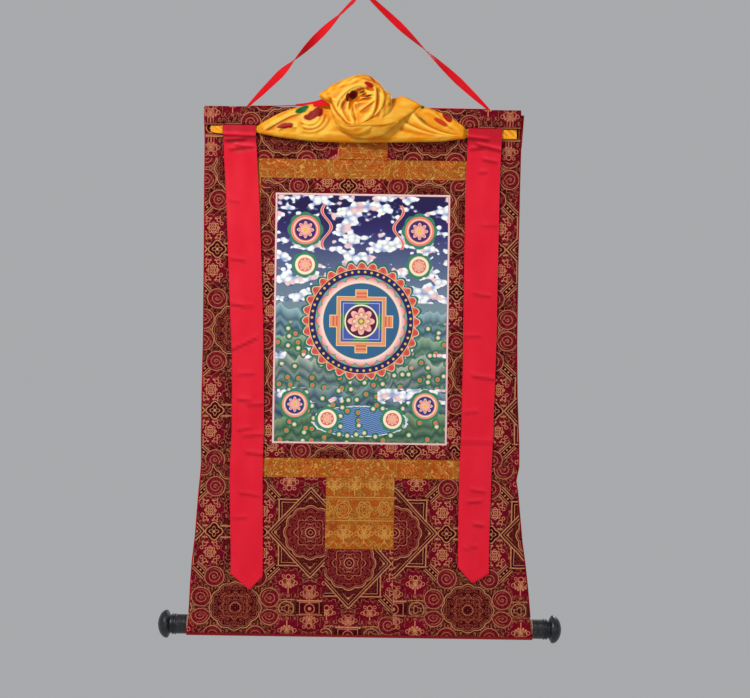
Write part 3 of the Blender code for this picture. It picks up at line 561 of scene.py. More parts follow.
class Graph:
    """The nodes of a material or a group."""

    def __init__(self, tree):
        self.nodes = tree.nodes
        self.links = tree.links
        self.shader = tree.nodes.get("Principled BSDF")

    def feed(self, socket, value):
        if isinstance(value, Wire):
            self.links.new(value.socket, socket)
        else:
            socket.default_value = value

    def node(self, kind, feeds=None, **settings):
        node = self.nodes.new(kind)
        for key, value in settings.items():
            setattr(node, key, value)
        for key, value in (feeds or {}).items():
            self.feed(node.inputs[key], value)
        return node

    def math(self, operation, *values, clamp=False):
        node = self.node("ShaderNodeMath", operation=operation, use_clamp=clamp)
        for socket, value in zip(node.inputs, values):
            self.feed(socket, value)
        return Wire(self, node.outputs[0])

    def out(self, node, key):
        return Wire(self, node.outputs[key])

    def cloth_place(self):
        """Across and up in millimetres of cloth."""
        node = self.node("ShaderNodeUVMap", uv_map="cloth")
        split = self.node("ShaderNodeSeparateXYZ")
        self.links.new(node.outputs["UV"], split.inputs[0])
        return self.out(split, "X") * 1000, self.out(split, "Y") * 1000

    def object_place(self):
        """The three places in the object, in millimetres."""
        place = self.out(self.node("ShaderNodeTexCoord"), "Object")
        split = self.node("ShaderNodeSeparateXYZ", {0: place})
        return [self.out(split, i) * 1000 for i in range(3)]

    def point(self, x, y, z=0.0):
        node = self.node("ShaderNodeCombineXYZ", {"X": x, "Y": y, "Z": z})
        return self.out(node, 0)

    def noise(self, x, y, size, detail=2.0, z=0.0, rough=0.5):
        """Noise from 0 to 1 whose grains are about a size across."""
        scale = 1 / size
        place = self.point(x * scale, y * scale, z)
        node = self.node(
            "ShaderNodeTexNoise",
            {"Vector": place, "Scale": 1.0, "Detail": detail, "Roughness": rough},
            noise_dimensions="3D",
        )
        return self.out(node, 0)

    def cells(self, x, y, size, wander=1.0):
        """Distance from the nearest of some scattered points, in cells, and a number of each cell's own."""
        place = self.point(x * (1 / size), y * (1 / size))
        node = self.node(
            "ShaderNodeTexVoronoi",
            {"Vector": place, "Scale": 1.0, "Randomness": wander},
            voronoi_dimensions="2D",
            feature="F1",
        )
        split = self.node("ShaderNodeSeparateColor")
        self.links.new(node.outputs["Color"], split.inputs[0])
        return self.out(node, "Distance"), self.out(split, 0), self.out(split, 1)

    def hypot(self, a, b):
        return (a * a + b * b).math("SQRT")

    def angle(self, up, across):
        return self.math("ARCTAN2", up, across)

    def fold(self, value, half):
        return self.math("PINGPONG", value, half)

    def inside(self, distance, soft=0.6):
        """1 where a signed distance is below 0."""
        return self.math("MULTIPLY_ADD", distance, -1 / soft, 0.5, clamp=True)

    def outside(self, distance, soft=0.6):
        return self.math("MULTIPLY_ADD", distance, 1 / soft, 0.5, clamp=True)

    def line(self, distance, width, soft=0.6):
        """1 on a line of a width where a signed distance is 0."""
        share = width / 2 / soft + 0.5
        return self.math("MULTIPLY_ADD", abs(distance), -1 / soft, share, clamp=True)

    def lowest(self, *wires):
        result = wires[0]
        for wire in wires[1:]:
            result = result.math("MINIMUM", wire)
        return result

    def highest(self, *wires):
        result = wires[0]
        for wire in wires[1:]:
            result = result.math("MAXIMUM", wire)
        return result

    def ring(self, across, up, radius, width):
        """A circle about the place where both distances are 0."""
        return self.line(self.hypot(across, up) - radius, width)

    def dot(self, across, up, radius):
        return self.inside(self.hypot(across, up) - radius)

    def petals(self, turn, count):
        """From 1 to -1 and back, a count of times round a full turn."""
        return (turn * count).math("COSINE")

    def contours(self, noise, times, width):
        """Lines of equal noise, which run as a filigree does."""
        away = self.fold(noise * times, 0.5)
        share = width / CONTOUR_SOFT + 0.5
        return self.math("MULTIPLY_ADD", away, -1 / CONTOUR_SOFT, share, clamp=True)

    def mixed(self, a, b, part):
        """One colour turning into another, each a tuple of screen values or a wire."""
        node = self.node("ShaderNodeMix", data_type="RGBA", clamp_factor=True)
        self.feed(node.inputs[0], part)
        for socket, colour in ((node.inputs[6], a), (node.inputs[7], b)):
            self.feed(socket, colour if isinstance(colour, Wire) else shader_colour(colour))
        return Wire(self, node.outputs[2])

    def tint(self, colour, by):
        """A colour made darker or lighter by a factor."""
        node = self.node("ShaderNodeVectorMath", operation="SCALE")
        self.feed(node.inputs[0], colour)
        self.feed(node.inputs["Scale"], by)
        return Wire(self, node.outputs[0])

    def bump(self, height, distance, strength):
        feeds = {"Height": height, "Distance": distance, "Strength": strength}
        return self.out(self.node("ShaderNodeBump", feeds), 0)

    def surface(self, colour, roughness, normal):
        for key, wire in (("Base Color", colour), ("Roughness", roughness), ("Normal", normal)):
            self.feed(self.shader.inputs[key], wire)


def new_material(name, shown, roughness=0.6, metallic=0.0, **constants):
    """A material and its graph, ready for its colour, roughness and bump."""
    material = bpy.data.materials.new(name)
    material.use_nodes = True
    material.diffuse_color = shader_colour(shown)
    graph = Graph(material.node_tree)
    inputs = graph.shader.inputs
    inputs["Roughness"].default_value = roughness
    inputs["Metallic"].default_value = metallic
    for key, value in constants.items():
        inputs[key.replace("_", " ")].default_value = value
    return material, graph


def twill(graph, x, z, pitch):
    """The ribs of a woven cloth, from 0 to 1."""
    return graph.fold(x + z * 0.8, pitch / 2) * (2 / pitch)


# the maroon brocade


def sprig(g, dx, dz):
    """A net-like flower with curls at its corners, about 34 mm high."""
    sx, sz = abs(dx), abs(dz)
    r = g.hypot(sx, sz)
    turn = g.angle(sz, sx)
    net = g.contours(g.noise(sx, sz, 5.5, 0.0, 2.2), 4.0, 0.20) * g.inside(r - 9.0)
    return g.highest(
        g.line(r - 9.4 - g.petals(turn, 8) * 1.1, 1.5),
        g.line(r - 3.6, 1.3),
        net,
        g.ring(sx - 9.2, sz - 14.2, 3.2, 1.3),
        g.ring(sx - 14.2, sz - 8.2, 2.6, 1.2),
        g.dot(sx - 4.2, sz - 17.0, 1.7),
        g.dot(sx - 11.6, sz - 19.2, 1.2),
    )


def blossom(g, dx, dz):
    """A branching flower seen from the side, as on the panels under the stars."""
    sx = abs(dx)
    r = g.hypot(sx, dz)
    return g.highest(
        g.ring(sx - 6.0, dz - 3.0, 5.0, 1.3),
        g.ring(sx - 12.5, dz - 1.0, 3.2, 1.2),
        g.ring(sx, dz - 11.0, 4.2, 1.3),
        g.ring(sx - 8.5, dz - 12.5, 2.4, 1.1),
        g.dot(sx - 4.0, dz + 6.0, 2.1),
        g.dot(sx - 8.6, dz + 3.8, 1.7),
        g.dot(sx, dz, 2.4),
        g.line(sx - 0.3, 1.2) * g.inside(abs(dz + 9) - 8),
        g.contours(g.noise(sx, dz, 5.0, 0.0, 6.2), 4.0, 0.18) * g.inside(r - 8.0),
    )


def figured_pattern():
    """A group that draws the figured silk: stars, medallions, spiral roundels, bars and sprigs."""
    tree = bpy.data.node_groups.new("figured_pattern", "ShaderNodeTree")
    for name in ("Across", "Up", "Star across", "Star up", "Half across", "Half up"):
        tree.interface.new_socket(name, in_out="INPUT", socket_type="NodeSocketFloat")
    for name in ("Lines", "Filigree", "Panel"):
        tree.interface.new_socket(name, in_out="OUTPUT", socket_type="NodeSocketFloat")
    g = Graph(tree)
    given = g.node("NodeGroupInput")
    cloth_x, cloth_z, star_x, star_z, half_x, half_z = (g.out(given, i) for i in range(6))
    wander = g.noise(cloth_x, cloth_z, 34.0, 1.0)
    x = cloth_x - star_x + (wander - 0.5) * 2.6
    z = cloth_z - star_z + (wander - 0.5) * 2.2
    u, v = g.fold(x, half_x), g.fold(z, half_z)
    mu, mv = half_x - u, half_z - v
    a, b = u.math("MAXIMUM", v), u.math("MINIMUM", v)
    ma, mb = mu.math("MAXIMUM", mv), mu.math("MINIMUM", mv)
    star_filigree = g.contours(g.noise(a, b, 6.4, 1.0), 5.0, 0.17)
    medallion_filigree = g.contours(g.noise(ma, mb, 6.0, 1.0, 3.7), 5.2, 0.17)
    ground_noise = g.noise(u, v, 8.0, 1.0, 8.1)
    ground_filigree = g.contours(ground_noise, 4.2, 0.15)

    # the star: a diamond over an upright square, with a scalloped medal in it
    diamond = (u * 1.04 + v * 0.98 - 76) * 0.7071
    square = (u + 2.5).math("MAXIMUM", v) - 57
    star = diamond.math("MINIMUM", square)
    middle = g.hypot(a, b)
    star_turn = g.angle(b, a)
    medal = middle - 42.8 - abs(g.petals(star_turn, 6)) * 3.4
    star_lines = g.highest(
        g.line(diamond, 2.0),
        g.line(diamond + 4.2, 1.1),
        g.highest(g.line(square, 2.0), g.line(square + 5.0, 1.1)) * g.outside(diamond - 0.8),
        g.line(medal, 1.7),
        g.line(medal + 2.8, 0.9) * 0.7,
        g.line(u + v - 61.5, 1.1) * g.inside(b - 9),
        g.dot(a - 60, b, 2.2),
        g.line(middle - 8.6, 1.5),
        g.line(a + b * 0.7 - 4.2, 1.1),
        g.line(middle - 25.5 - g.petals(star_turn, 8) * 2.6, 1.1) * 0.75,
        g.line(middle - 16.0 - g.petals(star_turn, 8) * -1.8, 1.0) * 0.6,
    )
    star_fill = star_filigree * g.inside(medal + 4.0) * g.outside(middle - 10.0)
    star_fill = g.highest(star_fill, star_filigree * 0.55 * g.inside(star + 6.5) * g.outside(medal - 2.0))

    # straps with beads between the star's corners and the medallions
    along, aside = (u + v) * 0.7071, abs(u - v) * 0.7071
    strap = g.inside(abs(along - 94.0) - 13.5)
    beads = g.inside(g.hypot(g.fold(along - 80, 3.6), aside) - 1.6)
    strap_lines = g.highest(g.line(aside - 7.6, 1.6), g.line(aside - 4.2, 1.2), beads) * strap

    # the large medallion with eight lobes, and the spiral roundels round it
    medallion_turn = g.angle(mb, ma)
    from_medallion = g.hypot(ma, mb)
    lobes = from_medallion - 41.5 - abs(g.petals(medallion_turn, 6)) * 3.2
    near_x, near_z = g.hypot(mu - 58.6, mv - 18.5), g.hypot(mu - 36.5, mv - 53.7)
    roundel = near_x.math("MINIMUM", near_z) - 16.5
    curl_turn = g.highest(
        g.angle(mv - 18.5, mu - 58.6) * g.inside(near_x - 17),
        g.angle(mv - 53.7, mu - 36.5) * g.inside(near_z - 17),
    )
    spiral = g.math("FRACT", (roundel + 16.5) * 0.17 + curl_turn * 0.1592)
    roundel_free = g.outside(lobes - 1.0)
    medallion_lines = g.highest(
        g.line(lobes, 1.6),
        g.line(lobes + 3.2, 0.9) * 0.7,
        g.line(from_medallion - 24 - g.petals(medallion_turn, 8) * 2.4, 1.1) * 0.5,
        g.line(from_medallion - 9, 1.2) * 0.6,
        g.highest(
            g.line(roundel, 1.4) * 0.85,
            g.line(spiral - 0.5, 0.20, 0.12) * g.inside(roundel + 3.4) * 0.7,
        )
        * roundel_free,
    )
    medallion_fill = medallion_filigree * g.inside(lobes + 4.6)

    # flower roundels at the star's level, with broad bars
    flower = g.hypot(mu - 38, v)
    petals = g.angle(v, mu - 38) * 4
    flower_lines = g.highest(
        g.line(flower - 13.2 - petals.math("COSINE") * 1.8, 2.0),
        g.line(flower - 6.4 - petals.math("COSINE") * 2.0, 1.4),
        g.inside(flower - 2.6),
        g.line(v - 9.5, 3.0) * g.outside(flower - 14.5) * g.inside(mu - 58) * 0.8,
    )

    # the box between two stars above each other, and the roundels beside it
    box = (u - 19).math("MAXIMUM", mv - 13)
    box_lines = g.highest(
        g.line(mv - 14, 2.6) * g.inside(u - 22),
        g.line(box + 2.0, 1.0),
        g.ring(u, mv, 8.5, 1.4),
        g.dot(u, mv, 3.0),
        g.line(u - 5.0, 1.2) * g.inside(abs(mv - 28) - 11) * 0.7,
        g.ring(u - 40, mv, 12.5, 1.5),
        g.line(g.hypot(u - 40, mv) - 6.0 - ((g.angle(mv, u - 40) * 3).math("COSINE")) * 1.6, 1.2),
        g.line(mv - 15.5, 1.3) * g.inside(abs(u - 40) - 15),
    )

    # sprigs on plain crimson panels with ragged edges
    sprig_lines = g.highest(
        sprig(g, mu - 45, v - 36),
        blossom(g, u - 37, 88 - v),
        blossom(g, u, 106 - v) * 0.8,
    )
    beside = (ground_noise - 0.5) * 26 + g.lowest(
        g.hypot(mu - 45, v - 36) - 26,
        g.hypot(u - 37, v - 88) - 26,
        g.hypot(u * 1.4, v - 104) - 22,
    )
    keep_off = g.lowest(star, lobes, roundel * roundel_free + (1.0 - roundel_free) * 9, flower - 15)
    free = g.outside(keep_off - 1.0)
    panel = g.inside(beside, 16.0) * free
    outside_straps = 1.0 - strap * g.inside(aside - 9)
    from_sprigs = g.lowest(
        g.hypot(mu - 45, v - 36) - 20,
        g.hypot(u - 37, v - 86) - 19,
        g.hypot(u, v - 103) - 18,
    )
    fill_free = free * outside_straps * g.outside(box)
    scroll = g.contours(g.noise(u, v, 13.0, 1.0, 4.4, 0.6), 5.5, 0.12)
    scroll = scroll * fill_free * g.outside(from_sprigs, 2.0)
    result = g.node("NodeGroupOutput")
    lines = g.highest(
        star_lines,
        strap_lines * free,
        medallion_lines,
        flower_lines * roundel_free * g.outside(roundel - 1.0),
        box_lines * g.outside(roundel - 1.0) * free,
        sprig_lines * free * outside_straps,
        scroll * 0.42,
    )
    roundel_fill = star_filigree * g.inside(roundel + 1.5) * roundel_free * 0.45
    ground_fill = ground_filigree * fill_free * (1.0 - panel) * 0.35
    fill = g.highest(star_fill, medallion_fill * 1.2, ground_fill, roundel_fill)
    plain = g.highest(panel, g.inside(medal) * 0.4, g.inside(roundel) * roundel_free * 0.8)
    for name, wire in (("Lines", lines), ("Filigree", fill), ("Panel", plain)):
        g.feed(result.inputs[name], wire)
    return tree


FIGURED = figured_pattern()


def figured(g, star, half, turned, scale=1.0):
    """The figured pattern's lines, filigree and panels, with a star at a place in millimetres."""
    x, z = g.cloth_place()
    group = g.node("ShaderNodeGroup", node_tree=FIGURED)
    across, up = (z * scale, x * scale) if turned else (x * scale, z * scale)
    for socket, value in zip(group.inputs, (across, up, *star, *half)):
        g.feed(socket, value)
    return (x, z, *(g.out(group, i) for i in range(3)))


def maroon_brocade(name, star, half=HALF_REPEAT, turned=False):
    """The maroon brocade, cut so that one of its stars lies at a place in millimetres."""
    material, g = new_material(name, (95, 20, 28), 0.6, Specular_IOR_Level=0.04)
    x, z, lines, filigree, panel = figured(g, star, half, turned)
    weave = twill(g, x, z, 0.9)
    worn = g.noise(x, z, 45.0, 2.0)
    tarnish = g.noise(x, z, 1.7, 2.0, 1.3)
    streak = g.noise(x, z * 0.06, 4.0, 1.0)
    ground = g.mixed((66, 2, 9), (116, 4, 30), panel)
    ground = g.tint(ground, 0.45 + worn * 0.65 + streak * 0.3)
    thread = g.mixed((206, 126, 98), (214, 150, 96), g.noise(x, z, 14.0, 1.0, 2.0))
    colour = g.mixed(ground, (164, 74, 56), filigree * (0.15 + tarnish * 1.05))
    colour = g.mixed(colour, thread, lines * (0.1 + tarnish * 1.4))
    colour = g.tint(colour, 0.84 + weave * 0.2)
    shine = lines.math("MAXIMUM", filigree)
    g.surface(colour, 0.7 - shine * 0.22, g.bump(shine * 0.7 + weave * 0.3, 0.00025, 0.6))
    return material


# the gold brocade


def gold_brocade(name, star, door=False):
    """The gold brocade: the same figures in two golds, or the door's own bands."""
    material, g = new_material(name, (170, 95, 35), 0.5, Specular_IOR_Level=0.08)
    if door:
        x, z, lines, filigree, panel = door_pattern(g)
    else:
        x, z, lines, filigree, panel = figured(g, star, HALF_REPEAT, False, GOLD_SCALE)
    worn = g.noise(x, z, 26.0, 2.0, 9.0)
    cloud = g.noise(x, z, 13.0, 1.0, 5.0)
    tarnish = g.noise(x, z, 1.7, 2.0, 1.3)
    weave = twill(g, x, z, 0.9)
    plain = g.outside(cloud - 0.53, 0.08)
    scrolls = g.contours(g.noise(x, z, 15.0, 1.0, 2.7, 0.6), 6.0, 0.13) * g.inside(cloud - 0.53, 0.08)
    lines = g.highest(lines * (0.9 if door else 0.5), scrolls * (0.45 if door else 0.9))
    ground = g.mixed((160, 88, 22), (176, 72, 12), g.highest(panel, plain * 0.8))
    thread = g.mixed((212, 158, 86), (220, 166, 72), worn)
    colour = g.mixed(ground, (186, 122, 44), filigree * (0.2 + tarnish * 0.8))
    colour = g.mixed(colour, (96, 42, 6), g.inside(tarnish - 0.43, 0.06) * 0.5)
    colour = g.mixed(colour, thread, lines * (0.3 + tarnish * 0.9))
    if door:
        stain = g.inside(g.hypot((x + 39) * 0.8, z + 918) - 8, 9.0)
        colour = g.mixed(colour, (140, 40, 10), stain * 0.6)
    colour = g.tint(colour, 0.78 + weave * 0.2 + worn * 0.12)
    shine = lines.math("MAXIMUM", filigree)
    g.surface(colour, 0.58 - shine * 0.14, g.bump(shine * 0.7 + weave * 0.3, 0.00025, 0.6))
    return material


def door_pattern(g):
    """The door's own cut of the gold brocade: flowers, a band with roundels, and a row of lotuses."""
    x, z = g.cloth_place()
    fine = g.contours(g.noise(g.fold(x - 15, 18.0), z, 5.0, 1.0, 7.7), 4.6, 0.15)
    centres = ((15.2, -888.9, 12.5), (-21.6, -888.5, 13.5), (49.0, -887.0, 10.5), (-52.0, -888.0, 11.0))
    rings = []
    distances = []
    for cx, cz, radius in centres:
        r = g.hypot(x - cx, (z - cz) * 0.92)
        petal = g.petals(g.angle(z - cz, x - cx), 6)
        rings += [
            g.line(r - radius - petal * 1.2, 1.5),
            g.line(r - radius * 0.72, 1.1),
            g.line(r - radius * 0.36 - petal * 1.3, 1.2),
        ]
        distances.append(r - radius)
    near = g.lowest(*distances)
    band = abs(z + 888) - 20.0
    row = blossom(g, g.fold(x - 15, 17.5), z + 931)
    crown = blossom(g, g.fold(x + 2, 17.5), z + 848)
    lines = g.highest(
        *rings,
        g.line(band, 1.4),
        g.line(band + 3.6, 0.8) * 0.6,
        row,
        crown,
        g.line(g.fold(x - 15, 8.75) + (z + 948) * 0.8 - 4, 1.4) * g.inside(abs(z + 948) - 5),
    )
    fill = fine * g.outside(near - 1.0) * 0.8
    return x, z, lines, fill, g.inside(abs(z + 930) - 14, 4.0) * 0.5


# the painted picture


class Painting:
    """A picture painted in layers, each over those before it."""

    def __init__(self, graph, x, z, ground):
        self.graph = graph
        self.x = x
        self.z = z
        self.brush = graph.noise(x, z, 7.0, 3.0, 1.0)
        self.waver = (self.brush - 0.5) * 5
        self.colour = ground

    def lay(self, colour, mask):
        self.colour = self.graph.mixed(self.colour, colour, mask)

    def fill(self, colour, distance, soft=0.6):
        self.lay(colour, self.graph.inside(distance, soft))

    def stroke(self, colour, distance, width):
        self.lay(colour, self.graph.line(distance, width))


def paint_land(paint):
    """The sky from a grey-green haze up to indigo, and hills behind one another."""
    g, x, z, waver = paint.graph, paint.x, paint.z, paint.waver
    for colour, base, slope in (
        ((98, 118, 142), -20, 0.012),
        ((52, 44, 104), 60, 0.011),
        ((34, 26, 74), 140, 0.02),
    ):
        paint.lay(colour, ((z - base + waver) * slope).math("MAXIMUM", 0.0))
    hills = (
        (18, 34, 30, (52, 84, 104), (158, 190, 196)),
        (-28, 38, 36, (46, 88, 84), (150, 180, 150)),
        (-74, 34, 30, (56, 86, 96), (176, 190, 170)),
        (-122, 30, 34, (42, 64, 88), (134, 162, 160)),
        (-164, 24, 26, (44, 78, 68), (134, 164, 120)),
    )
    for i, (base, rise, size, dark, light) in enumerate(hills):
        ridge = g.noise(x, x * 0.0 + 1.0, size, 2.0, 11.0 + i * 3.1)
        edge = z - base - (ridge - 0.5) * rise * 2.6
        stripes = g.fold(edge * -1 + waver, 9.0) * 0.11
        paint.fill(g.mixed(dark, light, (1.0 + edge * 0.045).math("MAXIMUM", stripes * 0.45)), edge, 1.2)
        paint.lay((26, 54, 60), g.line(edge + 0.6, 1.0) * 0.8)


def paint_water(paint):
    """Water between the hills at the foot."""
    g, x, z = paint.graph, paint.x, paint.z
    shore = g.hypot(x * 0.42, (z + 176) * 1.3) - 34 + paint.waver
    waves = g.line(g.fold(z + g.fold(x, 7.0) * 0.4, 3.2) - 1.6, 0.9)
    paint.fill(g.mixed((52, 96, 158), (176, 206, 226), waves * 0.7), shore)
    paint.stroke((232, 238, 236), shore, 1.6)


def paint_shrubs(paint):
    """Flowering shrubs strewn over the hills."""
    g = paint.graph
    gap, chance, kind = g.cells(paint.x, paint.z, 15.0)
    shrubs = g.inside(paint.z + 8, 10) * g.inside(0.45 - chance, 0.02)
    petals = g.mixed((232, 96, 92), (248, 206, 206), g.inside(0.5 - kind, 0.02))
    layers = (((34, 92, 60), 0.42, 0.08), ((96, 158, 88), 0.30, 0.08), (petals, 0.19, 0.06))
    for colour, reach, soft in layers:
        paint.lay(colour, g.inside(gap - reach, soft) * shrubs)


def paint_clouds(paint):
    """Heaped clouds in the sky and along the hills."""
    g, x, z, waver = paint.graph, paint.x, paint.z, paint.waver
    puff, puff_chance, _ = g.cells(x + waver, z * 1.25 + waver, 11.5, 0.85)
    drift = g.noise(x, z * 1.6, 46.0, 2.0, 6.0)
    heap = (drift - 0.53) * 9 + (0.55 - puff)
    zone = g.highest(
        g.outside(z - 28, 18.0),
        g.inside(abs(z + 60) - 12, 12.0) * 0.7,
        g.inside(abs(z + 132) - 13, 12.0) * g.outside(abs(x) - 30, 20.0),
    )
    where = g.outside(zone - 0.5, 0.1)
    shade = g.mixed((250, 250, 246), (142, 166, 208), (puff - 0.25) * 1.9)
    shade = g.mixed(shade, (236, 168, 160), g.inside(0.82 - puff_chance, 0.02) * 0.6)
    paint.lay(shade, g.outside(heap, 0.12) * where)
    paint.lay((84, 96, 150), g.line(heap, 0.18, 0.1) * where)


def paint_disc(paint, middle_x, middle_z, radius, ground, rim):
    """A jewelled disc with a flower, and its mirror image."""
    g = paint.graph
    across, up = abs(paint.x) - middle_x, paint.z - middle_z
    r = g.hypot(across, up)
    leaf = abs(g.petals(g.angle(up, across), 4))
    flower = r - radius * 0.30 - leaf * radius * 0.26
    paint.fill((58, 128, 96), r - radius - 3 - leaf * 3)
    paint.fill(rim, r - radius)
    paint.stroke((250, 236, 214), r - radius * 0.82, 1.2)
    paint.fill(ground, r - radius * 0.72)
    paint.fill(g.mixed((250, 206, 190), (226, 92, 96), r * (1.6 / radius)), flower)
    paint.stroke((248, 238, 210), flower, 1.0)
    paint.fill((236, 186, 74), r - radius * 0.15)


def paint_mandala(paint):
    """The mandala in the middle, drawn in rings from the outside in."""
    g, x, z = paint.graph, paint.x, paint.z + 4
    r = g.hypot(x, z)
    turn = g.angle(z, x)
    rays = abs((turn * 16 + (paint.brush - 0.5) * 0.6).math("COSINE"))
    flame = r - 92 - rays * 9
    paint.fill((44, 112, 96), flame - 5)
    paint.fill(g.mixed((240, 146, 120), (206, 74, 66), rays), flame)
    paint.stroke((252, 226, 196), flame, 1.2)
    paint.fill((40, 34, 92), r - 90)
    beads = g.fold(turn, math.pi / 24) - math.pi / 48
    paint.lay((236, 190, 92), g.dot(beads * 85, r - 85, 2.1))
    paint.stroke((240, 200, 120), r - 90, 1.0)
    paint.fill((116, 170, 148), r - 79)
    petal = r - 72 - abs(g.petals(turn, 12)) * 6
    paint.fill(g.mixed((252, 232, 226), (226, 116, 110), (r - 66) * 0.09), petal)
    paint.stroke((132, 44, 54), petal, 0.9)
    paint.fill((52, 100, 140), r - 66)
    paint.stroke((240, 206, 140), r - 66, 1.2)

    # the palace with its four gates
    high, low = abs(x).math("MAXIMUM", abs(z)), abs(x).math("MINIMUM", abs(z))
    gate = g.lowest(high - 42, (high - 54).math("MAXIMUM", low - 10))
    paint.fill(g.mixed((214, 84, 70), (238, 168, 120), g.fold(high, 3.0) * 0.3), gate)
    paint.stroke((246, 216, 140), gate, 1.4)
    court = g.fold(turn + math.pi / 4, math.pi / 4)
    paint.fill(g.mixed((58, 132, 96), (70, 92, 168), g.inside(court - 0.4, 0.05)), high - 36)
    paint.lay((246, 222, 160), g.highest(g.line(high - 36, 1.2), g.line(high - 31, 0.7)))

    # the lotus at its heart
    paint.fill((250, 236, 196), r - 29)
    paint.fill((84, 30, 66), r - 26.5)
    for radius, swing, inner, outer in (
        (15.5, 8.0, (250, 196, 180), (222, 88, 90)),
        (9.5, 5.5, (252, 240, 214), (236, 150, 110)),
    ):
        leaf = r - radius - abs(g.petals(turn, 4)) * swing
        paint.fill(g.mixed(outer, inner, (r - radius + swing) * 0.07), leaf)
        paint.stroke((112, 32, 48), leaf, 0.8)
    paint.fill((60, 132, 96), r - 5.5)
    paint.fill((240, 200, 96), r - 3.4)


def paint_streamers_and_border(paint):
    g, x, z = paint.graph, abs(paint.x), paint.z
    reach = g.inside(abs(z - 158) - 38)
    streamer = abs(x - 62 - (z * 0.11).math("SINE") * 8) - 2.2
    paint.lay((232, 104, 92), g.inside(streamer) * reach * 0.9)
    paint.lay((250, 214, 190), g.line(streamer, 0.8) * reach)
    edge = (x - PICTURE_WIDTH * 500).math("MAXIMUM", abs(z) - PICTURE_HEIGHT * 500)
    paint.lay((238, 196, 196), g.outside(edge + 3.2))
    paint.lay((168, 90, 100), g.line(edge + 3.2, 0.7) * 0.7)


def painted_picture():
    """A painted landscape with a mandala, clouds, hills and lotuses: nobody's picture."""
    material, g = new_material("painted_cloth", (150, 140, 130), 0.72, Specular_IOR_Level=0.2)
    x, z = g.cloth_place()
    x = x - PICTURE_MIDDLE * 1000
    z = z - (PICTURE_TOP - PICTURE_HEIGHT / 2) * 1000
    paint = Painting(g, x, z, (132, 158, 160))
    paint_land(paint)
    paint_water(paint)
    paint_shrubs(paint)
    paint_clouds(paint)
    paint_disc(paint, 98, 152, 25, (66, 40, 104), (236, 132, 112))
    paint_disc(paint, 98, 92, 17, (226, 118, 96), (250, 226, 190))
    paint_disc(paint, 112, -148, 22, (48, 54, 120), (238, 150, 124))
    paint_disc(paint, 56, -172, 16, (222, 108, 88), (248, 232, 200))
    paint_mandala(paint)
    paint_streamers_and_border(paint)
    canvas = twill(g, x, z, 1.1) * 0.5 + twill(g, x * -1, z, 1.1) * 0.5
    age = g.noise(x, z, 60.0, 3.0, 4.0)
    colour = g.tint(paint.colour, 0.84 + age * 0.18 + canvas * 0.08 + paint.brush * 0.08)
    g.surface(colour, 0.6 + paint.brush * 0.25, g.bump(canvas + paint.brush, 0.00015, 0.5))
    return material


# silk, satin, tape, wood, metal


def patch_mask(g, x, z, centre, half_long, half_wide, degrees, soft=1.2):
    """A soft-edged oval of another silk or of painted shade, by its middle, half sizes and turn."""
    cos, sin = math.cos(math.radians(degrees)), math.sin(math.radians(degrees))
    dx, dz = x - centre[0], z - centre[1]
    along = (dx * cos + dz * sin) * (1 / half_long)
    aside = (dz * cos - dx * sin) * (1 / half_wide)
    return g.inside((g.hypot(along, aside) - 1.0) * half_wide, soft)


# middle, half length, half width, degrees, colour
SILK_PATCHES_AND_HOLLOW_SHADE = (
    ((-101, -206), 12.5, 5.4, 25, (8, 96, 40)), ((-80, -214.5), 17.5, 7, 27, (138, 5, 5)),
    ((-130, -234), 14.5, 4.2, 12, (150, 14, 6)), ((104, -198.5), 4.2, 2.9, 0, (10, 92, 40)),
    ((104, -220), 8.5, 1.3, -38, (40, 110, 50)), ((146, -216), 10.5, 5, -42, (176, 26, 12)),
    ((136, -224), 14, 4.2, -30, (196, 60, 16)), ((14, -167), 8, 3.8, -18, (180, 14, 10)),
    # the ovals from (-13, -183.5) on are painted shade in the rosette's hollows, the others patches of other
    # silks
    ((19, -157), 10, 1.8, -48, (214, 52, 16)), ((-13, -183.5), 7.8, 5, 40, (92, 8, 10)),
    ((-22, -189), 2.4, 7.5, -12, (120, 14, 10)), ((0, -178), 5, 2.2, 32, (20, 10, 8)),
    ((12, -186), 8.5, 1.5, 6, (84, 12, 8)),
)


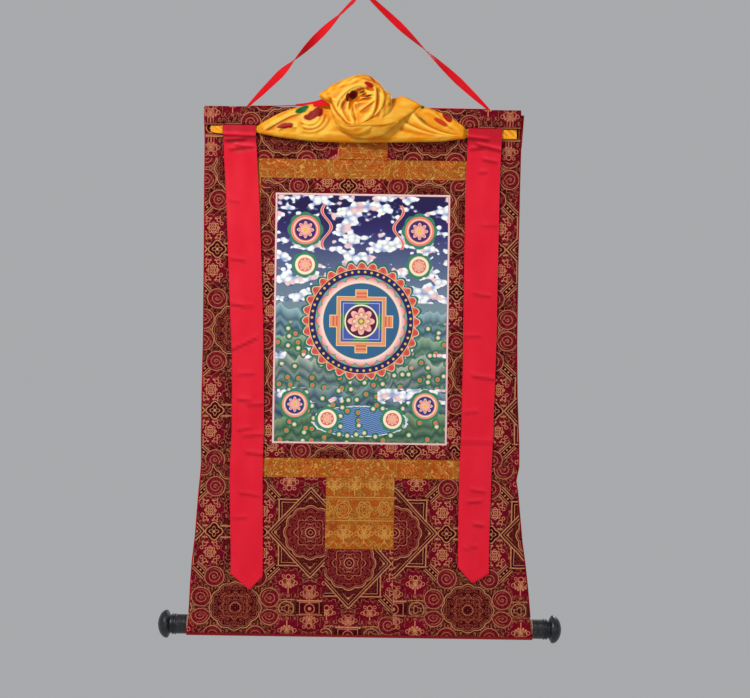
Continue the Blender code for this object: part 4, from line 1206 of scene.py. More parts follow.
def yellow_silk():
    material, g = new_material(
        "yellow_silk",
        (250, 175, 40),
        0.4,
        Sheen_Weight=0.02,
        Sheen_Roughness=0.35,
        Specular_IOR_Level=0.16,
    )
    x, z = g.cloth_place()
    # The fold attribute carries painted highlights on the ridges of the silk's folds and painted shade in
    # their hollows.
    fold = g.out(g.node("ShaderNodeAttribute", attribute_name="fold"), "Fac")
    mottle = g.noise(x, z, 26.0, 2.0)
    # Soft streaks of painted sheen and painted shade across the silk.
    painted_sheen_streaks = g.noise(x * 0.5 + z * 0.4, z * 1.3 - x * 0.4, 15.0, 1.0, 6.6)
    colour = g.mixed((242, 150, 10), (240, 168, 26), mottle)
    pale = g.inside(g.hypot((x + 100) * 0.35, z + 240) - 20, 22.0)
    colour = g.mixed(colour, (234, 190, 60), pale * 0.7)
    colour = g.mixed(colour, (228, 124, 4), g.inside(painted_sheen_streaks - 0.46, 0.22) * 0.5)
    colour = g.mixed(colour, (250, 196, 70), g.outside(painted_sheen_streaks - 0.58, 0.16) * 0.5)
    # painted highlight on the ridges of the folds, then painted shade in their hollows
    colour = g.mixed(colour, (255, 204, 84), fold * 0.85)
    colour = g.mixed(colour, (190, 92, 4), fold * -0.8)
    ragged = (g.noise(x, z, 14.0, 1.0, 8.8) - 0.5) * 9
    # patches of other silks, and painted shade in the rosette's hollows
    for centre, half_long, half_wide, degrees, tone in SILK_PATCHES_AND_HOLLOW_SHADE:
        mask = patch_mask(g, x + ragged, z - ragged * 0.7, centre, half_long, half_wide, degrees)
        colour = g.mixed(colour, tone, mask)
    weave = twill(g, x, z, 0.5)
    crush = g.noise(x, z, 5.0, 3.0, 3.0, 0.6)
    speckle = g.noise(x, z, 1.3, 2.0, 5.0)
    colour = g.tint(colour, 0.93 + speckle * 0.14)
    g.surface(colour, 0.3 + crush * 0.25, g.bump(crush + weave * 0.08, 0.0008, 0.55))
    return material


def red_satin():
    material, g = new_material(
        "red_satin",
        (214, 24, 46),
        0.42,
        Sheen_Weight=0.02,
        Sheen_Roughness=0.4,
        Specular_IOR_Level=0.14,
    )
    x, z = g.cloth_place()
    # The fold attribute, read here as crease, carries painted shade in the ribbon's creases, along its
    # selvedges and in the silk cover's shadow at its top, and painted highlights on the creases' ridges.
    crease = g.out(g.node("ShaderNodeAttribute", attribute_name="fold"), "Fac")
    soft = g.noise(x, z * 0.5, 30.0, 2.0)
    slub = g.noise(x * 0.25, z, 1.1, 2.0, 4.0)
    colour = g.mixed((214, 18, 40), (226, 30, 54), soft)
    # painted shade, then painted highlight
    colour = g.mixed(colour, (150, 6, 26), crease * -1.0)
    colour = g.mixed(colour, (236, 62, 80), crease * 0.7)
    colour = g.tint(colour, 0.94 + slub * 0.12)
    g.surface(colour, 0.36 + soft * 0.16, g.bump(slub + soft, 0.0002, 0.5))
    return material


def woven(name, colour_a, colour_b, pitch, roughness, depth=0.0002):
    """A plain woven cloth of one colour with uneven threads."""
    material, g = new_material(
        name, colour_a, roughness, Sheen_Weight=0.03, Sheen_Roughness=0.5, Specular_IOR_Level=0.08
    )
    x, z = g.cloth_place()
    warp = g.fold(x, pitch / 2) * (2 / pitch)
    weft = g.fold(z, pitch / 2) * (2 / pitch)
    weave = warp.math("MAXIMUM", weft)
    slub = g.noise(x, z * 0.3, 2.0, 2.0)
    cloud = g.noise(x, z, 40.0, 2.0, 3.0)
    colour = g.tint(g.mixed(colour_a, colour_b, cloud), 0.82 + slub * 0.16 + weave * 0.14)
    g.surface(colour, roughness - 0.05 + slub * 0.12, g.bump(weave + slub, depth, 0.6))
    return material


def plain_wood():
    material, g = new_material("plain_wood", (170, 130, 90), 0.6)
    x, y, z = g.object_place()
    grain = g.noise(x * 0.03, y + z, 1.6, 3.0, 2.0)
    ring = g.noise(x * 0.02, z + y * 0.4, 7.0, 2.0, 7.0)
    colour = g.mixed((186, 142, 96), (128, 86, 50), g.fold(ring * 6, 0.5) * 1.2)
    colour = g.tint(colour, 0.8 + grain * 0.35)
    g.surface(colour, 0.5 + grain * 0.25, g.bump(grain, 0.0002, 0.6))
    return material


def dark_cap():
    material, g = new_material("dark_cap", (26, 28, 38), 0.4, 0.2, Coat_Weight=0.12, Coat_Roughness=0.3)
    x, y, z = g.object_place()
    grime = g.noise(x, y + z, 6.0, 3.0)
    turned = g.noise(x * 3.0, (y + z) * 0.06, 1.0, 1.0, 5.0)
    wear = g.outside(grime + turned * 0.3 - 0.80, 0.08)
    colour = g.mixed((8, 11, 20), (27, 30, 40), grime)
    colour = g.mixed(colour, (104, 84, 66), wear * 0.5)
    g.surface(colour, 0.3 + grime * 0.28, g.bump(turned + grime, 0.00008, 0.5))
    return material


# the flat cloths

LINING_RED = woven("lining_cotton", (172, 12, 20), (146, 8, 16), 0.7, 0.8)
TAPE_RED = woven("tape_weave", (232, 20, 30), (204, 12, 26), 0.9, 0.5, 0.0003)
SATIN = red_satin()
SILK = yellow_silk()
WOOD = plain_wood()
CAP = dark_cap()


def make_lining():
    top_of_wrap = ROLLER_AXIS + LINING_WRAP[0][1] + FLAT_ABOVE_WRAP
    section = straight(LINING_THICK / 2, LINING_TOP, top_of_wrap) + wrapped(LINING_WRAP)

    def lining_right(z):
        return right_edge(z) + columns_at(RIGHT_MARGINS, z)[0]

    def lining_left(z):
        return left_edge(z) - LINING_MARGIN

    mesh = section_piece("lining", section, lining_left, lining_right, (0, LINING_TOP))
    round_roller = math.radians(LINING_WRAP[-1][0] - LINING_WRAP[0][0]) * LINING_WRAP_RADIUS
    flat = (LINING_MEAN_WIDTH, LINING_TOP - top_of_wrap + round_roller)
    cloth("lining", mesh, LINING_RED, flat, thickness=LINING_THICK)


def make_head():
    bottom = GOLD_BOX[1] + SEAM_GAP / 2
    section = [tuple(row) for row in smoothed(HEAD_SECTION, 6)]
    anchor = len(section) - 1
    section += straight(-BROCADE_FRONT, HEAD_SECTION[-1][1], bottom)[1:]
    mesh = section_piece("head", section, left_edge, right_edge, (anchor, HEAD_SECTION[-1][1]), CLOTH_STEP)
    material = maroon_brocade("brocade_head", (-1.6, -98.5))
    cloth("head", mesh, material, FLAT_SIZES["head"])


def make_sides():
    top = GOLD_BOX[1] - SEAM_GAP / 2
    bottom = SIDE_SEAM + SEAM_GAP / 2
    for name, left_of, right_of, star in (
        ("side_left", left_edge, lambda z: z * 0 + GOLD_BOX[0] - SEAM_GAP / 2, (-78.0, -444.9)),
        ("side_right", lambda z: z * 0 + GOLD_BOX[2] + SEAM_GAP / 2, right_edge, (325.4, -439.2)),
    ):
        section = straight(-BROCADE_FRONT, top, bottom)
        mesh = section_piece(name, section, left_of, right_of, (0, top), CLOTH_STEP)
        material = maroon_brocade("brocade_" + name, star)
        cloth(name, mesh, material, (SIDE_MEAN_WIDTH, top - bottom))


def foot_section(top):
    start = ROLLER_AXIS + BROCADE_WRAP[0][1] + FLAT_ABOVE_WRAP
    return straight(-BROCADE_FRONT, top, start) + wrapped(BROCADE_WRAP)


def make_foot_side(name, side, seam, star):
    """An outer piece of the foot: beside the gold frame it starts higher than under it."""
    corner = GOLD_BOX[0] if side < 0 else GOLD_BOX[2]
    outer_of = left_edge if side < 0 else right_edge
    beside = corner + side * 2 * SEAM_GAP
    under = corner + side * SEAM_GAP / 2
    wrap_start = ROLLER_AXIS + BROCADE_WRAP[0][1] + FLAT_ABOVE_WRAP
    wrap = np.array(wrapped(BROCADE_WRAP))
    outer_part = stops(abs(under - outer_of(FOOT_MIDDLE)), CLOTH_STEP)
    inner_part = stops(abs(seam - under), CLOTH_STEP)
    columns = [(True, part) for part in outer_part] + [(False, part) for part in inner_part]
    if side > 0:
        columns.reverse()
    down = stops(SIDE_SEAM - wrap_start, CLOTH_STEP)
    points, uvs = [], []
    run = np.concatenate(((0,), np.cumsum(np.linalg.norm(np.diff(wrap, axis=0), axis=1))))
    for is_beside, part in columns:
        top = (SIDE_SEAM if is_beside else GOLD_BOX[3]) - SEAM_GAP / 2
        z = np.concatenate((top + (wrap_start - top) * down, wrap[:, 1]))
        y = np.concatenate((np.full(len(down), -BROCADE_FRONT), wrap[:, 0]))
        v = np.concatenate((top + (wrap_start - top) * down, wrap[0, 1] - run))
        if is_beside:
            x = outer_of(z) + (beside - outer_of(z)) * part
        else:
            x = np.full(len(z), under + (seam - under) * part)
        points.append(stacked(x, swell(x, z) + y, z))
        uvs.append(stacked(x, v))
    mesh = grid_mesh(name, np.stack(points, axis=1), np.stack(uvs, axis=1))
    material = maroon_brocade("brocade_" + name, star, FOOT_HALF_REPEAT)
    cloth(name, mesh, material, FLAT_SIZES["foot_side"])


def make_foot():
    seam_left = DOOR_MIDDLE - DOOR_WIDTH / 2
    seam_right = DOOR_MIDDLE + DOOR_WIDTH / 2
    door_bottom = GOLD_BOX[3] - DOOR_HEIGHT
    make_foot_side("foot_left", -1, seam_left - SEAM_GAP / 2, (-76.8, -929.7))
    make_foot_side("foot_right", 1, seam_right + SEAM_GAP / 2, (67.6, -928.4))
    mesh = section_piece(
        "foot_middle",
        foot_section(door_bottom - SEAM_GAP / 2),
        lambda z: z * 0 + seam_left + SEAM_GAP / 2,
        lambda z: z * 0 + seam_right - SEAM_GAP / 2,
        (0, door_bottom),
        CLOTH_STEP,
    )
    material = maroon_brocade("brocade_foot_middle", (-9.9, -981.1), FOOT_HALF_REPEAT)
    cloth("foot_middle", mesh, material, FLAT_SIZES["foot_middle"])
    door = corners_of((seam_left, GOLD_BOX[3], seam_right, door_bottom))
    mesh = flat_piece("door", door, BROCADE_FRONT, CLOTH_STEP)
    material = gold_brocade("gold_door", (0.0, 0.0), door=True)
    size = (DOOR_WIDTH, DOOR_HEIGHT)
    cloth("door", mesh, material, size)


def make_frame(name, outer_box, inner_box, materials):
    outer, inner = corners_of(outer_box), corners_of(inner_box)
    strips = {
        "top": (outer[0], outer[1], inner[1], inner[0]),
        "right": (inner[1], outer[1], outer[2], inner[2]),
        "bottom": (inner[3], inner[2], outer[2], outer[3]),
        "left": (outer[0], inner[0], inner[3], outer[3]),
    }
    for side, corners in strips.items():
        mesh = flat_piece(f"{name}_{side}", corners, BROCADE_FRONT, 0.0045)
        xs, zs = zip(*corners)
        size = (max(xs) - min(xs), max(zs) - min(zs))
        area = (max(size) - min(size)) * min(size)
        cloth(f"{name}_{side}", mesh, materials[side], size)


def make_frames():
    stars = {"top": (-124.7, -192), "bottom": (48.7, -989), "left": (-60, -420), "right": (90, -410)}
    gold = {side: gold_brocade("gold_" + side, star) for side, star in stars.items()}
    make_frame("gold_strip", GOLD_BOX, INNER_BOX, gold)
    maroon = {
        "top": maroon_brocade("brocade_inner_top", (-243.0, -20.5), turned=True),
        "bottom": maroon_brocade("brocade_inner_bottom", (-698.0, 96.0), turned=True),
        "left": maroon_brocade("brocade_inner_left", (-68.0, -514.0)),
        "right": maroon_brocade("brocade_inner_right", (78.0, -514.0)),
    }
    make_frame("inner_strip", INNER_BOX, PICTURE_BOX, maroon)


def make_picture():
    mesh = flat_piece("picture", corners_of(PICTURE_BOX), BROCADE_FRONT)
    size = (PICTURE_WIDTH, PICTURE_HEIGHT)
    cloth("picture", mesh, painted_picture(), size)


def make_top_patch():
    half = TOP_PATCH_WIDTH / 2
    bottom = GOLD_BOX[1] + SEAM_GAP
    box = (TOP_PATCH_MIDDLE - half, bottom + TOP_PATCH_HEIGHT, TOP_PATCH_MIDDLE + half, bottom)
    mesh = flat_piece("top_patch", corners_of(box), PATCH_FRONT, 0.003)
    material = gold_brocade("gold_patch", (30.0, -356.0))
    size = (TOP_PATCH_WIDTH, TOP_PATCH_HEIGHT)
    cloth("top_patch", mesh, material, size, thickness=PATCH_THICK)


# folds drawn on a surface

# the part of a fold's line over which its end fades away
FOLD_FADE = 0.18


def to_line(x, z, pixels, depth):
    """Each place's signed distance from a drawn line, positive to its left, and part of the way along it."""
    marks = np.array([seen(px, py, depth) for px, py in pixels])
    line = smoothed(marks, 12)
    count = len(line) - 1
    best = np.full(x.shape, 1e9)
    sign = np.ones(x.shape)
    part = np.zeros(x.shape)
    for i in range(count):
        (ax, az), (bx, bz) = line[i], line[i + 1]
        dx, dz = bx - ax, bz - az
        t = np.clip(((x - ax) * dx + (z - az) * dz) / (dx * dx + dz * dz), 0, 1)
        off_x, off_z = x - ax - t * dx, z - az - t * dz
        far = np.hypot(off_x, off_z)
        nearer = far < best
        best = np.where(nearer, far, best)
        sign = np.where(nearer, np.sign(dx * off_z - dz * off_x), sign)
        part = np.where(nearer, (i + t) / count, part)
    return best * sign, part


def folds_relief(x, z, folds, depth):
    """Height of drawn folds: an edge stands up on the left of its line, a ridge on both sides."""
    height = np.zeros(x.shape)
    for kind, tall, wide, pixels in folds:
        off, part = to_line(x, z, pixels, depth)
        ends = smooth_step(part / FOLD_FADE) * smooth_step((1 - part) / FOLD_FADE)
        if kind == "edge":
            shape = np.tanh(off / 0.0010) * bell(off, 1.7 * wide)
        else:
            shape = bell(off, 1.5 * wide)
        height += tall * ends * shape
    return height


# kind, height, width in metres, then the line in pixels of the photograph
SWAG_FOLDS = (
    ("edge", 0.0022, 0.0060, ((263, 131), (270, 127), (280, 121.5), (291, 116), (303, 112.5))),
    ("ridge", 0.0012, 0.0022, ((260, 128.5), (268, 123.5), (280, 117), (292, 111.5), (303, 108))),
    ("ridge", -0.0010, 0.0016, ((261, 127.2), (269, 122), (280, 115.5), (290, 111))),
    ("edge", 0.0012, 0.0060, ((276, 131.8), (281, 128.6), (287, 127), (294, 127), (298, 128))),
    ("edge", 0.0013, 0.0030, ((300, 121), (307, 124.5), (314, 124), (319, 119.5), (321.5, 113))),
    ("edge", 0.0018, 0.0042, ((301, 126), (309, 128.5), (317, 127), (322.5, 121), (324.5, 113))),
    ("edge", 0.0011, 0.0036, ((300, 131), (311, 132.5), (320, 129.5), (326.5, 123), (329, 116))),
    ("ridge", 0.0014, 0.0020, ((311, 120.5), (316, 117), (319, 112.5), (322, 109))),
    ("ridge", 0.0016, 0.0030, ((316, 135.5), (330, 134), (345, 135.5), (362, 138.2), (380, 139))),
    ("ridge", 0.0010, 0.0030, ((264, 135), (282, 137), (305, 138.6), (335, 139.8), (370, 140.6))),
    ("ridge", -0.0014, 0.0030, ((322, 137.6), (345, 138), (370, 139.4))),
    ("edge", 0.0018, 0.0055, ((466, 136), (450, 134), (436, 130), (424, 124), (417, 117.5), (412, 111))),
    ("edge", 0.0012, 0.0050, ((462, 137.5), (440, 135), (423, 130.8), (410, 125.6), (401, 120.5))),
    ("ridge", 0.0010, 0.0025, ((421, 108), (432, 112), (441, 117.5), (452, 125), (463, 132))),
    ("ridge", -0.0009, 0.0016, ((434, 111), (440, 116), (443.5, 121.5), (449, 127), (458, 131.5))),
    ("ridge", 0.0012, 0.0035, ((386, 139), (405, 138.5), (425, 138.8), (448, 138))),
    ("ridge", -0.0014, 0.0030, ((398, 128), (408, 131), (424, 134.6), (440, 137))),
)

# the same, with the lines in pixels of a crop of the rosette
CROP_SCALE = 15.68
CROP_CORNER = (306, 66)
FULL_SHADE_AT = 0.0008
ROSETTE_FOLDS = (
    # the outer coil over the winding inside it, from the knot over the top to the right
    (
        "edge",
        0.0034,
        0.0070,
        ((530, 730), (560, 610), (640, 500), (720, 420), (810, 370), (900, 350), (950, 395)),
    ),
    ("edge", 0.0020, 0.0045, ((480, 690), (505, 590), (580, 480), (690, 385), (790, 335), (900, 330))),
    ("ridge", 0.0016, 0.0022, ((380, 560), (400, 660), (440, 770), (520, 860), (640, 950))),
    ("ridge", -0.0014, 0.0020, ((450, 560), (500, 660), (550, 740), (620, 840), (720, 910))),
    ("edge", 0.0018, 0.0040, ((395, 470), (420, 580), (480, 700), (560, 800), (660, 900), (760, 960))),
    ("ridge", 0.0012, 0.0030, ((330, 420), (440, 340), (560, 290), (690, 240), (820, 200))),
    ("ridge", -0.0012, 0.0026, ((400, 420), (500, 350), (640, 320), (760, 290), (850, 260))),
    ("ridge", 0.0012, 0.0024, ((700, 200), (820, 210), (930, 250), (1000, 330), (1040, 400))),
    # panels that run down to the low point
    ("edge", 0.0016, 0.0030, ((790, 915), (730, 820), (700, 700), (690, 600), (700, 545))),
    ("edge", 0.0018, 0.0028, ((780, 910), (755, 800), (725, 690), (712, 590), (735, 540))),
    ("ridge", 0.0014, 0.0016, ((800, 915), (790, 820), (762, 720), (750, 620), (760, 560))),
    ("edge", 0.0014, 0.0030, ((700, 930), (640, 850), (590, 760), (565, 680), (580, 600))),
    # the flat lozenge in the middle and its crease
    ("edge", 0.0020, 0.0050, ((830, 728), (900, 680), (970, 630), (1045, 580), (1075, 545))),
    ("edge", -0.0016, 0.0040, ((765, 575), (850, 560), (940, 548), (1030, 545))),
    ("ridge", 0.0010, 0.0030, ((850, 740), (920, 760), (1000, 770), (1060, 740))),
    # the right side of the coil, ridges that run down and left
    (
        "edge",
        0.0032,
        0.0060,
        ((840, 925), (960, 860), (1050, 770), (1090, 660), (1105, 540), (1110, 430), (1090, 340)),
    ),
    ("ridge", 0.0016, 0.0020, ((900, 895), (1010, 830), (1110, 720), (1160, 600), (1170, 480), (1150, 380))),
    (
        "ridge",
        -0.0016,
        0.0018,
        ((860, 905), (1000, 820), (1090, 710), (1130, 590), (1135, 470), (1120, 370)),
    ),
    ("edge", 0.0016, 0.0035, ((1000, 850), (1120, 750), (1200, 640), (1230, 530), (1220, 420), (1180, 330))),
    ("ridge", 0.0014, 0.0024, ((1040, 850), (1180, 730), (1280, 600), (1310, 500), (1290, 430))),
    ("ridge", -0.0014, 0.0020, ((1000, 880), (1150, 770), (1260, 650), (1330, 560))),
    # hollows of the winding
    ("edge", 0.0016, 0.0030, ((1085, 400), (1000, 392), (930, 380), (880, 400), (855, 470), (845, 530))),
    ("ridge", 0.0012, 0.0018, ((985, 250), (1030, 300), (1075, 360), (1090, 430))),
    ("ridge", 0.0014, 0.0020, ((850, 520), (880, 470), (950, 440), (1040, 445))),
    # lower left
    ("ridge", 0.0010, 0.0022, ((440, 800), (490, 890), (560, 960), (680, 1010), (800, 1020))),
    ("ridge", -0.0010, 0.0020, ((560, 830), (640, 900), (720, 930))),
)
# middle in pixels of the crop, half length, half width, turn in degrees, depth in metres
ROSETTE_HOLLOWS = (
    ((740, 505), 0.008, 0.0062, 40, 0.009), ((900, 455), 0.0062, 0.0028, 30, 0.007),
    ((690, 620), 0.0024, 0.009, -8, 0.0045), ((1010, 365), 0.008, 0.0036, -15, 0.004),
    ((950, 515), 0.0085, 0.0016, 6, 0.004),
)


def crop_pixels(points):
    return tuple((CROP_CORNER[0] + x / CROP_SCALE, CROP_CORNER[1] + y / CROP_SCALE) for x, y in points)


def fold_shade(relief, rows=1):
    """How far a place stands out from those round it, from about -1 to 1."""
    blurred = relief.copy()
    for _ in range(rows):
        for axis in (0, 1):
            blurred = (np.roll(blurred, 1, axis) + blurred + np.roll(blurred, -1, axis)) / 3
    return np.clip((relief - blurred) / FULL_SHADE_AT, -1, 1)


def swag_mesh():
    """The silk from its hem round the lower fold and up the front, and its top edge rolled back."""
    columns, back_rows, front_rows, lip_rows = 305, 14, 64, 8
    across = np.linspace(0, len(SWAG_STATIONS) - 1, columns)
    x, top, fold, front, relief = smooth_rows(SWAG_STATIONS, across).T
    turn_height = np.minimum(SWAG_TURN_HEIGHT, (HEM_HEIGHT - fold) * SWAG_TURN_SHARE)
    points, heights = [], []
    for part in np.linspace(0, 1, 4)[:-1]:
        z = HEM_HEIGHT + (fold + turn_height - HEM_HEIGHT) * part
        points.append(stacked(x, np.full_like(x, HEM_DEPTH), z))
        heights.append(np.zeros_like(x))
    for part in np.linspace(0, 1, back_rows)[:-1]:
        turn = math.pi * part
        middle, reach = (HEM_DEPTH - front) / 2, (front + HEM_DEPTH) / 2
        y = middle + reach * math.cos(turn)
        points.append(stacked(x, y, fold + turn_height * (1 - math.sin(turn))))
        heights.append(np.zeros_like(x))
    parts = np.linspace(0, 1, front_rows)[:, None]
    z = (fold + turn_height) + (top - fold - turn_height) * parts
    xs = np.broadcast_to(x, z.shape)
    drawn = folds_relief(xs, z, SWAG_FOLDS, SWAG_DEPTH)
    room = smooth_step((front - SWAG_FLAT_FRONT) / SWAG_FULL_OVER)
    # a soft fullness between the drawn folds, and small gathers where there is no room for them
    fullness = relief * (np.sin(np.pi * parts) ** 0.8) * 0.75
    gathers = 0.0004 * np.sin(xs * 520 + parts * 5) * (1 - room)
    face = drawn * room * np.minimum(1, 6 * parts) + fullness + gathers
    face = np.minimum(face, SWAG_REACH)
    y = -front - face
    for i in range(front_rows):
        points.append(stacked(x, y[i], z[i]))
        heights.append(face[i])
    radius = 0.0022 * room + 0.0006
    for i in range(1, lip_rows + 1):
        turn = math.pi * 0.62 * i / lip_rows
        lip_y = y[-1] + radius * (1 - np.cos(turn))
        points.append(stacked(x, lip_y, z[-1] + radius * np.sin(turn) * 0.6))
        heights.append(face[-1])
    points = np.stack(points)[::-1]
    heights = np.stack(heights)[::-1]
    shade = fold_shade(heights, 18)
    return grid_mesh("swag", points, points[..., (0, 2)], {"fold": shade})


def rosette_mesh():
    """The wound silk: the CAD's flattened ball with the folds of its winding on the front."""
    sectors, rings = 320, 110
    turn = np.linspace(0, 2 * np.pi, sectors, endpoint=False)[None, :]
    tilt = np.linspace(0.004, np.pi - 0.02, rings)[:, None]
    out, forward = np.sin(tilt), np.cos(tilt)
    degrees = np.degrees(turn)
    near = np.linspace(-3, 3, 7)
    reach = np.mean([columns_at(ROSETTE_OUTLINE, (degrees + n) % 360)[0] for n in near], axis=0)
    x = ROSETTE_MIDDLE[0] + reach * out * np.cos(turn)
    z = ROSETTE_MIDDLE[1] + reach * out * np.sin(turn)
    depth = ROSETTE_BACK + (ROSETTE_FRONT - ROSETTE_BACK) * (0.5 + 0.5 * forward) + 0 * turn
    front = smooth_step(forward * 2.2) * np.ones_like(turn)
    folds = tuple((kind, tall, wide, crop_pixels(line)) for kind, tall, wide, line in ROSETTE_FOLDS)
    relief = folds_relief(x, z, folds, FOLDS_DEPTH)
    dish = -0.0060 * bell(np.hypot(x + 0.004, z + 0.194), 0.021)
    rim = 0.0030 * bell(out - 0.72, 0.2) * np.ones_like(turn)
    for (px, py), half_long, half_wide, lean, deep in ROSETTE_HOLLOWS:
        cx, cz = seen(CROP_CORNER[0] + px / CROP_SCALE, CROP_CORNER[1] + py / CROP_SCALE, HOLLOWS_DEPTH)
        cos, sin = math.cos(math.radians(lean)), math.sin(math.radians(lean))
        along = ((x - cx) * cos + (z - cz) * sin) / half_long
        aside = ((z - cz) * cos - (x - cx) * sin) / half_wide
        relief = relief - deep * np.exp(-((along**2 + aside**2) ** 1.5))
    gathers = 0.0006 * np.sin(9 * turn + 30 * out) * bell(out - 0.9, 0.2)
    height = (relief + dish + rim + gathers) * front
    y = np.maximum(depth - height, ROSETTE_FRONT - 0.0065)
    behind = smooth_step(-forward * 3) * np.ones_like(turn)
    y = y + behind * 0.0012 * np.sin(7 * turn + 5 * out)
    points = stacked(x + 0 * y, y, z + 0 * y)
    shade = fold_shade(height, 16)
    mesh = grid_mesh("rosette", points, points[..., (0, 2)], {"fold": shade}, around=True)
    bm = bmesh.new()
    bm.from_mesh(mesh)
    bm.verts.ensure_lookup_table()
    total = len(bm.verts)
    for first in (0, total - sectors):
        ring = [bm.verts[first + i] for i in range(sectors)]
        bmesh.ops.contextual_create(bm, geom=ring)
    bmesh.ops.recalc_face_normals(bm, faces=bm.faces)
    bm.to_mesh(mesh)
    bm.free()
    return mesh


# the broad hemmed flap: pixel of its upper edge, pixel of its lower edge, depth of each in metres
FLAP = (
    ((401.5, 95.8), (420.5, 105.8), 0.0235, 0.0235), ((396.5, 99.5), (415, 110), 0.027, 0.027),
    ((390, 105.5), (408, 115), 0.034, 0.033), ((383, 111.5), (400, 120.3), 0.043, 0.04),
    ((375, 117), (391, 124), 0.052, 0.046), ((366, 121.5), (379, 125.6), 0.057, 0.05),
    ((357, 124.6), (364, 126.4), 0.058, 0.0515), ((350, 125), (351, 127.2), 0.056, 0.05),
    ((343, 123), (341.5, 126.2), 0.052, 0.0455),
)
# the corner of the silk that hangs below it, with its stitched hem
CORNER = (
    ((398.5, 119.8), (398.5, 122.6), 0.04, 0.037), ((393, 122.6), (391, 128), 0.044, 0.037),
    ((385, 124.6), (384, 134.6), 0.0475, 0.035), ((376, 125.8), (375, 137.4), 0.05, 0.035),
    ((366, 126.3), (365, 138.4), 0.0512, 0.035), ((357, 126.6), (356, 137), 0.0512, 0.035),
    ((349, 127), (347.5, 133.8), 0.049, 0.035), ((342, 126.5), (340.5, 130), 0.044, 0.035),
    ((337, 124.5), (336, 126.6), 0.04, 0.035),
)


def flap_mesh(name, table, crown, stitches, along_count=90, across_count=22):
    """A flap of silk between two drawn edges, crowned between them, with rows of stitches."""
    marks = []
    for upper, lower, upper_depth, lower_depth in table:
        ux, uz = seen(*upper, upper_depth)
        lx, lz = seen(*lower, lower_depth)
        marks.append((ux, -upper_depth, uz, lx, -lower_depth, lz))
    rows = smooth_rows(marks, np.linspace(0, len(marks) - 1, along_count))
    upper, lower = rows[:, None, :3], rows[:, None, 3:]
    part = np.linspace(0, 1, across_count)[None, :]
    points = upper + (lower - upper) * part[..., None]
    run = np.linspace(0, 1, along_count)[:, None]
    bulge = crown * np.sin(np.pi * part) ** 0.7
    ripple = 0.00022 * np.sin(run * 17 + part * 4) + 0.00012 * np.sin(run * 41 - part * 5)
    groove = sum(-0.0005 * bell(part - at, 0.035) for at in stitches)
    pucker = sum(0.00025 * np.sin(run * 260) * bell(part - at, 0.06) for at in stitches)
    height = bulge + ripple + groove + pucker + 0 * run
    points[..., 1] -= height
    edge = np.minimum(part, 1 - part)
    points[..., 1] += 0.0012 * (1 - np.clip(edge / 0.08, 0, 1)) ** 2
    # painted highlight along the flap's crown, painted shade in the stitch grooves, and painted light and
    # shade on its ripples
    shade = np.clip(0.55 * (bulge / crown) - 0.15 + groove * 900 + ripple * 500, -1, 1) + 0 * run
    points = points[::-1].transpose(1, 0, 2)
    return grid_mesh(name, points, points[..., (0, 2)], {"fold": shade[::-1].T})


def make_silk():
    swag = swag_mesh()
    flap = flap_mesh("flap", FLAP, 0.0013, (0.93,))
    corner = flap_mesh("corner", CORNER, 0.0016, (0.08, 0.2))
    mesh = joined([swag, flap, corner])
    sheets = add_object("silk_sheets", mesh, SILK)
    thickened(sheets, SILK_THICK)
    depsgraph = bpy.context.evaluated_depsgraph_get()
    thick = bpy.data.meshes.new_from_object(sheets.evaluated_get(depsgraph))
    bpy.data.objects.remove(sheets)
    obj = add_object("silk_cover_cloth", joined([thick, rosette_mesh()]), SILK)
    stands_for(obj, "silk_cover")


# ribbons, tapes and caps

CREASE_WIDTH = 0.0027
RIBBON_TIP_ROWS = 12
# a crease's height at the ribbon's left and right, its ends as parts of the way across, its depth
CREASES = {
    "ribbon_left": (
        (-0.25, -0.2515, -0.1, 1.1, 0.0012), (-0.2585, -0.256, 0, 0.75, 0.0011),
        (-0.2655, -0.27, 0.3, 1, 0.001), (-0.2745, -0.27, 0.1, 0.8, 0.0007),
        (-0.36, -0.368, 0, 0.5, 0.0004), (-0.46, -0.468, 0, 0.6, 0.0006),
        (-0.538, -0.546, -0.1, 0.5, 0.0007), (-0.544, -0.54, 0.3, 0.8, 0.0005),
        (-0.617, -0.59, -0.1, 0.9, 0.0008), (-0.661, -0.656, 0.1, 0.8, 0.0005),
        (-0.701, -0.706, 0.1, 0.7, 0.0007), (-0.713, -0.71, 0.4, 1.1, 0.0006),
        (-0.756, -0.748, 0.1, 0.7, 0.0006), (-0.766, -0.762, 0.3, 1.1, 0.0006),
        (-0.79, -0.796, 0.4, 1.1, 0.0007), (-0.86, -0.868, 0.2, 1, 0.0005),
        (-0.906, -0.902, 0, 0.6, 0.0004),
    ),
    "ribbon_right": (
        (-0.248, -0.254, -0.1, 0.7, 0.001), (-0.256, -0.269, 0.2, 1.1, 0.0012),
        (-0.268, -0.262, 0, 0.6, 0.0008), (-0.28, -0.29, 0.4, 1, 0.0007),
        (-0.308, -0.306, 0.3, 0.7, 0.0006), (-0.401, -0.396, 0.4, 1.1, 0.0004),
        (-0.512, -0.521, 0.2, 0.9, 0.0006), (-0.589, -0.585, -0.1, 0.6, 0.0005),
        (-0.654, -0.661, 0.2, 1.1, 0.0007), (-0.72, -0.715, 0, 0.6, 0.0005),
        (-0.769, -0.769, -0.1, 1.1, 0.0006), (-0.849, -0.856, 0.3, 0.9, 0.0006),
        (-0.874, -0.87, 0.2, 0.8, 0.0007), (-0.908, -0.914, 0.4, 0.9, 0.0008),
        (-0.952, -0.948, 0.1, 0.7, 0.0005),
    ),
}


